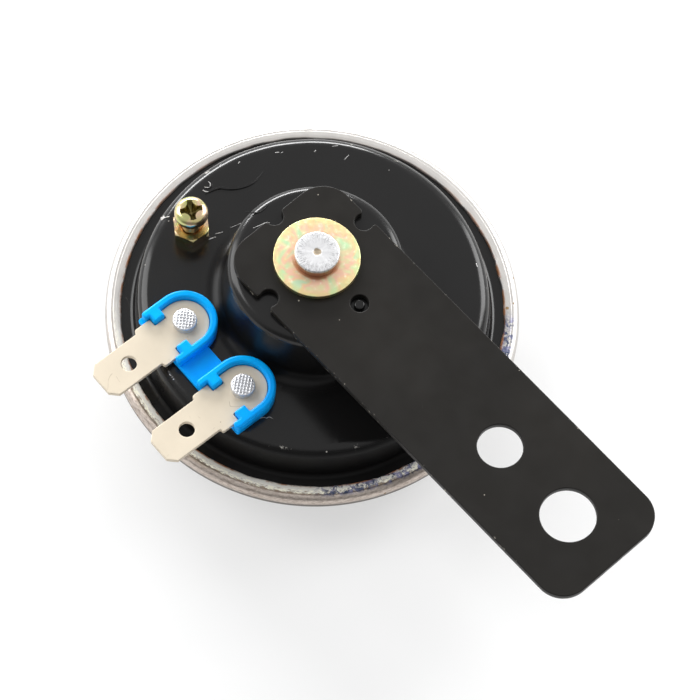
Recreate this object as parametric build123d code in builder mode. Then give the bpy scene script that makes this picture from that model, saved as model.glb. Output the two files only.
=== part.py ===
from build123d import *
import os
from math import cos, radians, sin, sqrt

# Small electromagnetic disc horn on a flat mounting strap.
# Millimetres. The horn's axis is +Z, towards the back where the strap is riveted on.
# The flat front face lies on z = 0, and the strap runs along +X.

# ---------------------------------------------------------------- driving dimensions

# sheet thicknesses
cover_sheet = 0.7
housing_sheet = 0.9
diaphragm_sheet = 0.4
tone_disc_sheet = 0.8
bracket_sheet = 1.2
gasket_thickness = 0.5

# general clearances
seat_gap = 0.3          # round a piece that sits loosely in a bore or a wall
fit_gap = 0.1           # round a moulded piece that is clipped or pressed into place
running_gap = 0.05      # radial, between the screw and its bores

# rolled rim and front cover
rim_radius = 32.5
rim_bottom = 5.7        # height of the ledge's outer face above the front face
rim_edge_fillet = 1.6
lip_width = 2.5         # of the lip that is rolled over the housing flange
ledge_width = 2.7       # from the rim in to the conical side of the cover
cover_draft = 1.4       # radial run of the conical side
front_fillet = 1.3
front_land = 4.3        # flat ring between the conical side and the grille
grille_width = 12.2     # from the grille's outer edge to its inner one
grille_depth = 1.4
grille_slope = 0.9      # radial run of the pressed step on both sides of the grille
slot_count = 16
slot_outer_margin = 1.6
slot_inner_margin = 2.4
slot_width = 2.4

# housing shell
flange_clearance = 0.4  # radial, between the clamped stack and the rim's wall
flange_land = 2.0       # from the lip's inner edge to the foot of the step
step_rise = 6.6         # from the flange up to the plateau
step_draft = 0.8        # radial run of the step's wall
step_fillet = 1.9
step_foot_fillet = 0.8
plateau_width = 12.7    # from the top of the step in to the boss's foot
boss_rise = 10.7        # from the plateau up to the boss's top
boss_draft = 1.0        # radial run of the boss's wall
boss_fillet = 1.2
boss_foot_fillet = 0.8
pip_radius = 0.85       # keeps the strap from turning on the boss
pip_height = 0.9
thread_collar_radius = 2.7
thread_collar_depth = 1.1

# strap
bracket_width = 21.8
bracket_reach = 65.85   # from the horn's axis to the far end
bracket_corner = 4.5
bracket_tail_corner = 5.0
large_hole_radius = 4.3
large_hole_inset = 10.05 # from the far end
small_hole_radius = 3.5
hole_spacing = 14.8     # between the two screw holes
index_hole_radius = 1.45
index_margin = 3.75     # from the top of the boss; three of the four holes break out at the edges
tail_inset = 0.15       # of the last index hole from the near end
notch_corner = 0.5

# rivet through the boss, which is also the coil's pole core
core_radius = 4.6
core_recess = 2.5       # of the pole face inside the coil's bobbin
stud_radius = 2.5
rivet_head_radius = 3.5
rivet_head_height = 1.8
washer_radius = 6.67
washer_thickness = 1.0

# coil
bobbin_arm_gap = 1.0    # between the contact arm and the bobbin
bobbin_side_gap = 1.0   # between the bobbin and the boss's inner wall
bobbin_wall = 0.7
bobbin_flange = 0.8
winding_inset = 0.8     # of the winding from the flanges' edge

# armature, diaphragm centre and tone disc
armature_inset = 1.4    # of the armature's plate from the bobbin's edge
armature_pad_gap = 0.6  # below the contact arm's pad when the contacts are closed
armature_plate_thickness = 2.4
armature_hub_radius = 5.0
slug_gap = 0.5          # radial, between the slug and the bobbin's bore
air_gap = 0.9
dish_rise = 1.2         # the diaphragm's centre stands this far behind its clamped edge
dish_inner_radius = 12.0
dish_margin = 4.0       # from the lip's inner edge to the dish
stem_radius = 2.0
stem_head_radius = 2.8
stem_head_height = 0.7
clamp_washer_thickness = 0.8
clamp_washer_radius = 5.0
spacer_radius = 3.4
spacer_length = 2.7
tone_disc_margin = 5.4  # inside the cover's front edge
tone_disc_flare = 3.5   # radial run of the disc's bent edge
tone_disc_bend = 0.9
tone_washer_radius = 4.2
tone_washer_thickness = 0.6

# terminals, along -Y of the terminal plane; lengths count from their rivets
terminal_turn = -2.4    # degrees that the pair is turned about the horn's axis
terminal_spacing = 14.1
terminal_mid_x = -0.95  # the pair's middle, off the horn's axis
boss_cup_gap = 0.69     # between the boss's foot and the nearer cup of the insulator
tab_width = 6.3
tab_thickness = 0.8
terminal_length = 16.5
terminal_body_length = 6.95
tab_tip_chamfer = 1.2
tab_edge_chamfer = 0.2
tab_hole_radius = 1.25
tab_hole_place = 11.0
terminal_body_width = 7.6
terminal_neck_width = 4.9
lug_place = 2.8         # middle of the notches that the insulator's lugs fill
lug_length = 2.0
rivet_shank_radius = 1.25
rivet_top_radius = 1.85
rivet_top_height = 1.5
rivet_bottom_radius = 2.1
rivet_bottom_height = 0.7
bush_radius = 2.0

# moulded insulator under the terminals
insulator_floor = 0.9
insulator_height = 2.7
insulator_wall = 1.2
cup_run_out = 0.05      # of the straight walls past the round end's radius
web_lead = 0.5          # how far the web starts on the boss's side of the rivets' axes
end_step = 0.55         # the outer wall stops this far short of the floor's end

# contact breaker inside
inner_plate_thickness = 0.8
inner_plate_width = 6.8
tag_thickness = 0.5
tag_radius = 2.6
tag_length = 4.0        # from the rivet's axis to the tag's end
contact_line_angle = 143.0   # direction from the breaker's rivet towards the contacts
arm_thickness = 0.3
contact_plate_thickness = 0.6
contact_radius = 1.5
contact_thickness = 0.7
breaker_end_radius = 3.2
breaker_tip_radius = 2.8
tip_run = 7.0                # of both tips and the contacts, along the contact line's direction
arm_tip_offset = 2.7         # these four count outwards from the armature's edge
contact_offset = 3.8
plate_tip_offset = 4.8
pad_offset = 0.7
pad_radius = 1.4
pad_thickness = 0.7

# adjusting screw and its lock nut
screw_inset = 6.55           # from the top of the step, along X
screw_y = -7.25
screw_radius = 1.5
screw_head_radius = 2.65
screw_head_height = 1.8
screw_head_fillet = 0.8
screw_head_lift = 5.5        # underside of the head above the plateau
recess_width = 0.85
recess_length = 3.3
recess_depth = 1.1
recess_centre_radius = 0.95
recess_turn = -27.5
nut_across_flats = 5.3
nut_height = 2.0
nut_turn = -35.5
nut_corner_drop = 0.35       # how far the top's corners are turned down

# ---------------------------------------------------------------- radii that follow

lip_radius = rim_radius - lip_width
ledge_radius = rim_radius - ledge_width     # where the ledge meets the conical side
front_radius = ledge_radius - cover_draft   # where the conical side would meet the front face
grille_outer_radius = front_radius - front_land - grille_slope
grille_inner_radius = grille_outer_radius - grille_width
slot_outer_radius = grille_outer_radius - slot_outer_margin
slot_inner_radius = grille_inner_radius + slot_inner_margin
step_foot_radius = lip_radius - flange_land
step_top_radius = step_foot_radius - step_draft
boss_foot_radius = step_top_radius - plateau_width
boss_top_radius = boss_foot_radius - boss_draft
bobbin_radius = boss_top_radius - housing_sheet - bobbin_side_gap
winding_radius = bobbin_radius - winding_inset
tube_inner = core_radius + seat_gap
tube_outer = tube_inner + bobbin_wall
slug_radius = tube_inner - slug_gap
armature_plate_radius = bobbin_radius - armature_inset
dish_outer_radius = lip_radius - dish_margin
tone_disc_radius = front_radius - tone_disc_margin
tone_disc_bend_radius = tone_disc_radius - tone_disc_flare

index_place = boss_top_radius - index_margin
bracket_tail = index_place + tail_inset
large_hole_place = bracket_reach - large_hole_inset
small_hole_place = large_hole_place - hole_spacing
screw_x = screw_inset - step_top_radius

# ---------------------------------------------------------------- stack heights

ledge_top = rim_bottom + cover_sheet
diaphragm_bottom = ledge_top + gasket_thickness
diaphragm_top = diaphragm_bottom + diaphragm_sheet
flange_bottom = diaphragm_top + gasket_thickness
flange_top = flange_bottom + housing_sheet
rim_top = flange_top + cover_sheet
clamped_radius = rim_radius - cover_sheet - flange_clearance

plateau_height = flange_top + step_rise
boss_height = plateau_height + boss_rise
plateau_inside = plateau_height - housing_sheet
boss_inside = boss_height - housing_sheet
bracket_top = boss_height + bracket_sheet
washer_top = bracket_top + washer_thickness
dish_bottom = diaphragm_bottom + dish_rise
dish_top = diaphragm_top + dish_rise
clamp_washer_bottom = dish_bottom - clamp_washer_thickness
tone_disc_top = clamp_washer_bottom - spacer_length
tone_disc_bottom = tone_disc_top - tone_disc_sheet
tone_washer_bottom = tone_disc_bottom - tone_washer_thickness
stem_end = tone_washer_bottom - stem_head_height

terminal_bottom = plateau_height + insulator_floor
terminal_top = terminal_bottom + tab_thickness
terminal_a_x = terminal_mid_x - terminal_spacing / 2
terminal_b_x = terminal_mid_x + terminal_spacing / 2
cup_inner = terminal_body_width / 2 + fit_gap
cup_outer = cup_inner + insulator_wall
terminal_rivet_y = -sqrt((boss_foot_radius + boss_cup_gap + cup_outer) ** 2 - terminal_b_x ** 2)
tab_end_y = terminal_rivet_y - terminal_length
tab_shoulder_y = terminal_rivet_y - terminal_body_length
tab_hole_y = terminal_rivet_y - tab_hole_place
tab_lug_y = terminal_rivet_y - lug_place
cup_length = cup_outer + cup_run_out
insulator_end_y = terminal_rivet_y - cup_length
web_start_y = terminal_rivet_y + web_lead
bush_hole_radius = bush_radius + seat_gap / 2
rivet_hole_radius = rivet_shank_radius + fit_gap
stud_hole_radius = stud_radius + fit_gap
stem_hole_radius = stem_radius + fit_gap
screw_hole_radius = screw_radius + running_gap

inner_plate_bottom = plateau_inside - inner_plate_thickness
tag_bottom = inner_plate_bottom - tag_thickness
arm_bottom = inner_plate_bottom - arm_thickness
plate_top = arm_bottom - 2 * contact_thickness
plate_bottom = plate_top - contact_plate_thickness
breaker_washer_bottom = plate_bottom - inner_plate_thickness
armature_plate_top = arm_bottom - pad_thickness - armature_pad_gap
armature_plate_bottom = armature_plate_top - armature_plate_thickness
bobbin_bottom = inner_plate_bottom + bobbin_arm_gap
core_bottom = bobbin_bottom + core_recess
slug_top = core_bottom - air_gap

# the terminal pair's own plane
pair = Plane.XY.rotated((0, 0, terminal_turn))


def points(corners):
    """The plain points of a list of (x, y, fillet) corners."""
    return [(x, y) for x, y, _ in corners]


def fillets(corners):
    """The fillet radii of a list of (x, y, fillet) corners."""
    return [radius for _, _, radius in corners]


def save(piece, name):
    """Label a finished piece and write its STEP file."""
    piece.part.label = name
    export_step(piece.part, f"parts/{name}.step")


def boss_wall(height):
    """Outer radius of the tapering boss at a height."""
    taper = (boss_foot_radius - boss_top_radius) / (boss_height - plateau_height)
    return boss_foot_radius - taper * (height - plateau_height)


def step_wall(height):
    """Outer radius of the step between flange and plateau at a height."""
    taper = (step_foot_radius - step_top_radius) / (plateau_height - flange_top)
    return step_foot_radius - taper * (height - flange_top)


def cover_side(height):
    """Outer radius of the cover's conical side at a height."""
    return front_radius + (ledge_radius - front_radius) * height / rim_bottom


def ring(name, outer, inner, bottom, top):
    """A flat washer, spacer or gasket round the horn's axis."""
    with BuildPart() as piece:
        with BuildSketch(Plane.XY.offset(bottom)):
            Circle(outer)
            Circle(inner, mode=Mode.SUBTRACT)
        extrude(amount=top - bottom)
    save(piece, name)


def terminal(name, x):
    """A push-on tab: a round riveted end, a notched body and a narrower blade."""
    with BuildPart() as piece:
        with BuildSketch(pair.offset(terminal_bottom)):
            with Locations((x, (tab_shoulder_y + tab_end_y) / 2)):
                blade = Rectangle(tab_width, tab_shoulder_y - tab_end_y)
            chamfer(blade.vertices().group_by(Axis.Y)[0], tab_tip_chamfer)
            with Locations((x, terminal_rivet_y)):
                Circle(terminal_body_width / 2)
            with Locations((x, (terminal_rivet_y + tab_shoulder_y) / 2)):
                Rectangle(terminal_body_width, terminal_rivet_y - tab_shoulder_y)
            with Locations((x, terminal_rivet_y)):
                Circle(rivet_hole_radius, mode=Mode.SUBTRACT)
            with Locations((x, tab_hole_y)):
                Circle(tab_hole_radius, mode=Mode.SUBTRACT)
            notch = (terminal_body_width - terminal_neck_width) / 2
            notch_middle = (terminal_body_width - notch) / 2
            with Locations((x - notch_middle, tab_lug_y), (x + notch_middle, tab_lug_y)):
                Rectangle(notch, lug_length + 2 * fit_gap, mode=Mode.SUBTRACT)
        extrude(amount=tab_thickness)
        tip = piece.faces().sort_by(Axis.Y)[0]
        chamfer(tip.edges().sort_by(SortBy.LENGTH)[-2:], tab_edge_chamfer)
    save(piece, name)


def terminal_rivet(name, x, bottom):
    """A rivet from the terminal down to the last inner piece."""
    with BuildPart() as piece:
        with BuildSketch(pair.offset(bottom - rivet_bottom_height)):
            with Locations((x, terminal_rivet_y)):
                Circle(rivet_bottom_radius)
        extrude(amount=rivet_bottom_height)
        with BuildSketch(pair.offset(bottom)):
            with Locations((x, terminal_rivet_y)):
                Circle(rivet_shank_radius)
        extrude(amount=terminal_top - bottom)
        with BuildSketch(pair.offset(terminal_top)):
            with Locations((x, terminal_rivet_y)):
                Circle(rivet_top_radius)
        extrude(amount=rivet_top_height)
        fillet(piece.edges().group_by(Axis.Z)[-1], 0.2)
    save(piece, name)


os.makedirs("parts", exist_ok=True)

# ---------------------------------------------------------------- front cover

cover_outside = [
    (lip_radius, rim_top, cover_sheet * 0.45),
    (rim_radius, rim_top, rim_edge_fillet),
    (rim_radius, rim_bottom, rim_edge_fillet),
    (ledge_radius, rim_bottom, 0.5),
    (front_radius, 0, front_fillet),
    (grille_outer_radius + grille_slope, 0, 0.4),
    (grille_outer_radius, grille_depth, 0.4),
    (grille_inner_radius, grille_depth, 0.4),
    (grille_inner_radius - grille_slope, 0, 0.4),
    (0, 0, 0),
]
cover_inside = [
    (0, cover_sheet, 0),
    (grille_inner_radius - grille_slope - cover_sheet / 2, cover_sheet, 0),
    (grille_inner_radius - cover_sheet / 2, grille_depth + cover_sheet, 0),
    (grille_outer_radius + cover_sheet / 2, grille_depth + cover_sheet, 0),
    (grille_outer_radius + grille_slope + cover_sheet / 2, cover_sheet, 0),
    (cover_side(cover_sheet) - cover_sheet, cover_sheet, front_fillet - cover_sheet),
    (cover_side(ledge_top) - cover_sheet, ledge_top, 0),
    (rim_radius - cover_sheet, ledge_top, 0.3),
    (rim_radius - cover_sheet, flange_top, 0.3),
    (lip_radius, flange_top, 0),
]
cover_profile = cover_outside + cover_inside

with BuildPart() as front_cover:
    with BuildSketch(Plane.XZ):
        with BuildLine():
            FilletPolyline(*points(cover_profile), radius=fillets(cover_profile), close=True)
        make_face()
    revolve(axis=Axis.Z)
    with BuildSketch():
        with PolarLocations((slot_inner_radius + slot_outer_radius) / 2, slot_count):
            SlotOverall(slot_outer_radius - slot_inner_radius, slot_width)
    extrude(amount=ledge_top, mode=Mode.SUBTRACT)
save(front_cover, "front_cover")

# ---------------------------------------------------------------- clamped stack

clamp_inner_radius = cover_side(ledge_top)
ring("front_gasket", clamped_radius, clamp_inner_radius, ledge_top, diaphragm_bottom)
ring("rear_gasket", clamped_radius, clamp_inner_radius, diaphragm_top, flange_bottom)

diaphragm_profile = [
    (stem_hole_radius, dish_bottom, 0),
    (dish_inner_radius, dish_bottom, 0),
    (dish_outer_radius, diaphragm_bottom, 0),
    (clamped_radius, diaphragm_bottom, 0),
    (clamped_radius, diaphragm_top, 0),
    (dish_outer_radius, diaphragm_top, 0),
    (dish_inner_radius, dish_top, 0),
    (stem_hole_radius, dish_top, 0),
]
with BuildPart() as diaphragm:
    with BuildSketch(Plane.XZ):
        with BuildLine():
            Polyline(*points(diaphragm_profile), close=True)
        make_face()
    revolve(axis=Axis.Z)
save(diaphragm, "diaphragm")

# ---------------------------------------------------------------- housing shell

housing_profile = [
    (clamped_radius, flange_bottom, 0),
    (clamped_radius, flange_top, 0),
    (step_foot_radius, flange_top, step_foot_fillet),
    (step_top_radius, plateau_height, step_fillet),
    (boss_foot_radius, plateau_height, boss_foot_fillet),
    (boss_top_radius, boss_height, boss_fillet),
    (stud_hole_radius, boss_height, 0),
    (stud_hole_radius, boss_inside, 0),
    (boss_wall(boss_inside) - housing_sheet, boss_inside, 0.4),
    (boss_wall(plateau_inside) - housing_sheet, plateau_inside, 0.4),
    (step_wall(plateau_inside) - housing_sheet, plateau_inside, 1.0),
    (step_wall(flange_bottom) - housing_sheet, flange_bottom, 0),
]
with BuildPart() as housing:
    with BuildSketch(Plane.XZ):
        with BuildLine():
            FilletPolyline(*points(housing_profile), radius=fillets(housing_profile), close=True)
        make_face()
    revolve(axis=Axis.Z)
    # threaded collar pressed inwards for the adjusting screw
    with BuildSketch(Plane.XY.offset(plateau_inside - thread_collar_depth)):
        with Locations((screw_x, screw_y)):
            Circle(thread_collar_radius)
    extrude(amount=thread_collar_depth)
    # pip that locks the strap's direction
    with BuildSketch(Plane.XY.offset(boss_height)):
        with Locations((index_place, 0)):
            Circle(pip_radius)
    extrude(amount=pip_height)
    fillet(housing.edges().group_by(Axis.Z)[-1], 0.3)
    # holes for the terminals' bushes and for the screw
    with BuildSketch(pair.offset(plateau_height)):
        with Locations((terminal_a_x, terminal_rivet_y), (terminal_b_x, terminal_rivet_y)):
            Circle(bush_hole_radius)
    extrude(amount=-housing_sheet, mode=Mode.SUBTRACT)
    with BuildSketch(Plane.XY.offset(plateau_height)):
        with Locations((screw_x, screw_y)):
            Circle(screw_hole_radius)
    extrude(amount=-housing_sheet - thread_collar_depth, mode=Mode.SUBTRACT)
save(housing, "housing")

# ---------------------------------------------------------------- strap, washer and core rivet

with BuildPart() as mounting_bracket:
    with BuildSketch(Plane.XY.offset(boss_height)) as strap:
        with Locations(((bracket_reach - bracket_tail) / 2, 0)):
            Rectangle(bracket_reach + bracket_tail, bracket_width)
        fillet(strap.vertices().group_by(Axis.X)[-1], bracket_corner)
        fillet(strap.vertices().group_by(Axis.X)[0], bracket_tail_corner)
        with PolarLocations(index_place, 4):
            Circle(index_hole_radius, mode=Mode.SUBTRACT)
        side_edges = strap.vertices().filter_by(lambda v: abs(v.Y) > bracket_width / 2 - 0.001)
        tail_edge = strap.vertices().filter_by(lambda v: v.X < 0.001 - bracket_tail)
        side_mouths = side_edges.filter_by(lambda v: abs(v.X) < index_hole_radius)
        tail_mouth = tail_edge.filter_by(lambda v: abs(v.Y) < index_hole_radius)
        fillet(side_mouths + tail_mouth, notch_corner)
        Circle(stud_hole_radius, mode=Mode.SUBTRACT)
        with Locations((small_hole_place, 0)):
            Circle(small_hole_radius, mode=Mode.SUBTRACT)
        with Locations((large_hole_place, 0)):
            Circle(large_hole_radius, mode=Mode.SUBTRACT)
    extrude(amount=bracket_sheet)
save(mounting_bracket, "mounting_bracket")

ring("bracket_washer", washer_radius, stud_hole_radius, bracket_top, washer_top)

pole_profile = [
    (0, core_bottom, 0),
    (core_radius, core_bottom, 0),
    (core_radius, boss_inside, 0),
    (stud_radius, boss_inside, 0),
    (stud_radius, washer_top, 0),
    (rivet_head_radius, washer_top, 0),
    (rivet_head_radius, washer_top + rivet_head_height, 0.25),
    (0.7, washer_top + rivet_head_height, 0),
    (0, washer_top + rivet_head_height - 0.35, 0),
]
with BuildPart() as pole_core:
    with BuildSketch(Plane.XZ):
        with BuildLine():
            FilletPolyline(*points(pole_profile), radius=fillets(pole_profile), close=True)
        make_face()
    revolve(axis=Axis.Z)
save(pole_core, "pole_core")

# ---------------------------------------------------------------- coil

bobbin_profile = [
    (tube_inner, bobbin_bottom, 0),
    (bobbin_radius, bobbin_bottom, 0),
    (bobbin_radius, bobbin_bottom + bobbin_flange, 0),
    (tube_outer, bobbin_bottom + bobbin_flange, 0),
    (tube_outer, boss_inside - bobbin_flange, 0),
    (bobbin_radius, boss_inside - bobbin_flange, 0),
    (bobbin_radius, boss_inside, 0),
    (tube_inner, boss_inside, 0),
]
with BuildPart() as coil_bobbin:
    with BuildSketch(Plane.XZ):
        with BuildLine():
            Polyline(*points(bobbin_profile), close=True)
        make_face()
    revolve(axis=Axis.Z)
save(coil_bobbin, "coil_bobbin")

ring("coil_winding", winding_radius, tube_outer + running_gap,
     bobbin_bottom + bobbin_flange, boss_inside - bobbin_flange)

# ---------------------------------------------------------------- armature and tone disc

armature_profile = [
    (0, stem_end, 0),
    (stem_head_radius, stem_end, 0.3),
    (stem_head_radius, tone_washer_bottom, 0),
    (stem_radius, tone_washer_bottom, 0),
    (stem_radius, dish_top, 0),
    (armature_hub_radius, dish_top, 0),
    (armature_hub_radius, armature_plate_bottom, 0),
    (armature_plate_radius, armature_plate_bottom, 0),
    (armature_plate_radius, armature_plate_top, 0),
    (slug_radius, armature_plate_top, 0),
    (slug_radius, slug_top, 0.4),
    (0, slug_top, 0),
]
with BuildPart() as armature:
    with BuildSketch(Plane.XZ):
        with BuildLine():
            FilletPolyline(*points(armature_profile), radius=fillets(armature_profile), close=True)
        make_face()
    revolve(axis=Axis.Z)
save(armature, "armature")

ring("diaphragm_washer", clamp_washer_radius, stem_hole_radius, clamp_washer_bottom, dish_bottom)
ring("tone_disc_spacer", spacer_radius, stem_hole_radius, tone_disc_top, clamp_washer_bottom)

tone_disc_profile = [
    (stem_hole_radius, tone_disc_bottom, 0),
    (tone_disc_bend_radius, tone_disc_bottom, 1.5),
    (tone_disc_radius, tone_disc_bottom + tone_disc_bend, 0),
    (tone_disc_radius, tone_disc_top + tone_disc_bend, 0),
    (tone_disc_bend_radius, tone_disc_top, 1.5),
    (stem_hole_radius, tone_disc_top, 0),
]
with BuildPart() as tone_disc:
    with BuildSketch(Plane.XZ):
        with BuildLine():
            FilletPolyline(*points(tone_disc_profile), radius=fillets(tone_disc_profile), close=True)
        make_face()
    revolve(axis=Axis.Z)
save(tone_disc, "tone_disc")

ring("tone_disc_washer", tone_washer_radius, stem_hole_radius, tone_washer_bottom, tone_disc_bottom)

# ---------------------------------------------------------------- terminals and insulator

terminal("terminal_a", terminal_a_x)
terminal("terminal_b", terminal_b_x)
terminal_rivet("terminal_rivet_a", terminal_a_x, tag_bottom)
terminal_rivet("terminal_rivet_b", terminal_b_x, breaker_washer_bottom)

cup_middle_y = terminal_rivet_y - cup_length / 2
lug_inner = terminal_neck_width / 2 + fit_gap
lug_outer = cup_inner + insulator_wall / 2
lug_middle = (lug_inner + lug_outer) / 2
with BuildPart() as terminal_insulator:
    # floor of both cups and the web that joins them
    with BuildSketch(pair.offset(plateau_height)):
        for x in (terminal_a_x, terminal_b_x):
            with Locations((x, terminal_rivet_y)):
                Circle(cup_outer)
            with Locations((x, cup_middle_y)):
                Rectangle(2 * cup_outer, cup_length)
        with Locations((terminal_mid_x, (web_start_y + insulator_end_y) / 2)):
            Rectangle(terminal_spacing, web_start_y - insulator_end_y)
    extrude(amount=insulator_floor)
    # U-shaped walls, open towards the blades
    with BuildSketch(pair.offset(terminal_bottom)):
        for x in (terminal_a_x, terminal_b_x):
            with Locations((x, terminal_rivet_y)):
                Circle(cup_outer)
            with Locations((x, cup_middle_y)):
                Rectangle(2 * cup_outer, cup_length)
            with Locations((x, terminal_rivet_y)):
                Circle(cup_inner, mode=Mode.SUBTRACT)
            with Locations((x, cup_middle_y)):
                Rectangle(2 * cup_inner, cup_length, mode=Mode.SUBTRACT)
            # lugs that clip into the terminal's notches
            with Locations((x - lug_middle, tab_lug_y), (x + lug_middle, tab_lug_y)):
                Rectangle(lug_outer - lug_inner, lug_length)
    extrude(amount=insulator_height - insulator_floor)
    # step at the free end of the outer wall
    with BuildSketch(pair.offset(terminal_bottom)):
        with Locations((terminal_a_x - cup_outer, insulator_end_y)):
            Rectangle(2 * insulator_wall + fit_gap, 2 * end_step)
    extrude(amount=insulator_height, mode=Mode.SUBTRACT)
    # bushes through the housing
    with BuildSketch(pair.offset(plateau_inside)):
        with Locations((terminal_a_x, terminal_rivet_y), (terminal_b_x, terminal_rivet_y)):
            Circle(bush_radius)
    extrude(amount=housing_sheet)
    with BuildSketch(pair.offset(plateau_inside)):
        with Locations((terminal_a_x, terminal_rivet_y), (terminal_b_x, terminal_rivet_y)):
            Circle(rivet_hole_radius)
    extrude(amount=insulator_height, mode=Mode.SUBTRACT)
    fillet(terminal_insulator.edges().group_by(Axis.Z)[-1], 0.25)
save(terminal_insulator, "terminal_insulator")

with BuildPart() as inner_insulator:
    with BuildSketch(pair.offset(inner_plate_bottom)):
        with Locations((terminal_mid_x, terminal_rivet_y)):
            SlotCenterToCenter(terminal_spacing, inner_plate_width)
        with Locations((terminal_a_x, terminal_rivet_y), (terminal_b_x, terminal_rivet_y)):
            Circle(rivet_hole_radius, mode=Mode.SUBTRACT)
    extrude(amount=inner_plate_thickness)
save(inner_insulator, "inner_insulator")

with BuildPart() as coil_tag:
    with BuildSketch(pair.offset(tag_bottom)):
        with Locations((terminal_a_x, terminal_rivet_y)):
            Circle(tag_radius)
        with Locations((terminal_a_x, terminal_rivet_y + tag_length / 2)):
            Rectangle(tag_radius, tag_length)
        with Locations((terminal_a_x, terminal_rivet_y)):
            Circle(rivet_hole_radius, mode=Mode.SUBTRACT)
    extrude(amount=tag_thickness)
save(coil_tag, "coil_tag")

# ---------------------------------------------------------------- contact breaker

# local x runs along the contact arm, local y away from the horn's axis
breaker = Plane(origin=(0, 0, 0), x_dir=(cos(radians(contact_line_angle)),
                                         sin(radians(contact_line_angle)), 0), z_dir=(0, 0, 1))
anchor = breaker.to_local_coords(pair.from_local_coords(Vector(terminal_b_x, terminal_rivet_y, 0)))
screw_spot = breaker.to_local_coords(Vector(screw_x, screw_y, 0))
arm_tip = (tip_run, armature_plate_radius + arm_tip_offset)
contact_place = (tip_run, armature_plate_radius + contact_offset)
plate_tip = (tip_run, armature_plate_radius + plate_tip_offset)
pad_place = (0, armature_plate_radius + pad_offset)

with BuildPart() as contact_arm:
    with BuildSketch(breaker.offset(arm_bottom)):
        with Locations((anchor.X, anchor.Y)):
            Circle(breaker_end_radius)
        with Locations(arm_tip):
            Circle(breaker_tip_radius)
        make_hull()
        with Locations((anchor.X, anchor.Y)):
            Circle(rivet_hole_radius, mode=Mode.SUBTRACT)
    extrude(amount=arm_thickness)
save(contact_arm, "contact_arm")

with BuildPart() as contact_plate:
    with BuildSketch(breaker.offset(plate_bottom)) as plate_outline:
        with BuildSketch(mode=Mode.PRIVATE) as tongue:
            with Locations(plate_tip):
                Circle(breaker_tip_radius)
            with Locations((screw_spot.X, screw_spot.Y)):
                Circle(breaker_tip_radius)
            make_hull()
        with Locations((anchor.X, anchor.Y)):
            Circle(breaker_end_radius)
        with Locations(plate_tip):
            Circle(breaker_tip_radius)
        make_hull()
        add(tongue.sketch)
        with Locations((anchor.X, anchor.Y)):
            Circle(rivet_hole_radius, mode=Mode.SUBTRACT)
    extrude(amount=contact_plate_thickness)
save(contact_plate, "contact_plate")

for piece_name, place, radius, bottom, top in (
    ("moving_contact", contact_place, contact_radius, plate_top + contact_thickness, arm_bottom),
    ("fixed_contact", contact_place, contact_radius, plate_top, plate_top + contact_thickness),
    ("arm_pad", pad_place, pad_radius, arm_bottom - pad_thickness, arm_bottom),
):
    with BuildPart() as button:
        with BuildSketch(breaker.offset(bottom)):
            with Locations(place):
                Circle(radius)
        extrude(amount=top - bottom)
    save(button, piece_name)

for piece_name, bottom, top in (
    ("contact_spacer", plate_top, arm_bottom),
    ("contact_washer", breaker_washer_bottom, plate_bottom),
):
    with BuildPart() as insulating_ring:
        with BuildSketch(breaker.offset(bottom)):
            with Locations((anchor.X, anchor.Y)):
                Circle(breaker_end_radius)
                Circle(rivet_hole_radius, mode=Mode.SUBTRACT)
        extrude(amount=top - bottom)
    save(insulating_ring, piece_name)

# ---------------------------------------------------------------- adjusting screw and lock nut

head_bottom = plateau_height + screw_head_lift
head_top = head_bottom + screw_head_height
with BuildPart() as adjusting_screw:
    with BuildSketch(Plane.XY.offset(plate_top + fit_gap)):
        with Locations((screw_x, screw_y)):
            Circle(screw_radius)
    extrude(amount=head_bottom - plate_top - fit_gap)
    with BuildSketch(Plane.XY.offset(head_bottom)):
        with Locations((screw_x, screw_y)):
            Circle(screw_head_radius)
    extrude(amount=screw_head_height)
    fillet(adjusting_screw.edges().group_by(Axis.Z)[-1], screw_head_fillet)
    with BuildSketch(Plane.XY.offset(head_top)):
        with Locations(Location((screw_x, screw_y, 0), recess_turn)):
            Rectangle(recess_length, recess_width)
            Rectangle(recess_width, recess_length)
            Circle(recess_centre_radius)
    extrude(amount=-recess_depth, taper=12, mode=Mode.SUBTRACT)
save(adjusting_screw, "adjusting_screw")

with BuildPart() as adjusting_nut:
    with BuildSketch(Plane.XY.offset(plateau_height)):
        with Locations((screw_x, screw_y)):
            RegularPolygon(nut_across_flats / 2, 6, major_radius=False, rotation=nut_turn)
    extrude(amount=nut_height)
    # turned-off corners of the top face
    with BuildSketch(Plane.XY.offset(plateau_height)):
        with Locations((screw_x, screw_y)):
            Circle(nut_across_flats / sqrt(3) + nut_height - nut_corner_drop)
    extrude(amount=nut_height, taper=45, mode=Mode.INTERSECT)
    with BuildSketch(Plane.XY.offset(plateau_height)):
        with Locations((screw_x, screw_y)):
            Circle(screw_hole_radius)
    extrude(amount=nut_height, mode=Mode.SUBTRACT)
save(adjusting_nut, "adjusting_nut")
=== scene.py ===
from functools import partial, reduce
from math import asin, atan2, cos, pi, radians, sin, sqrt, tan

import bmesh
import bpy
from mathutils import Matrix, Vector, noise


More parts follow.
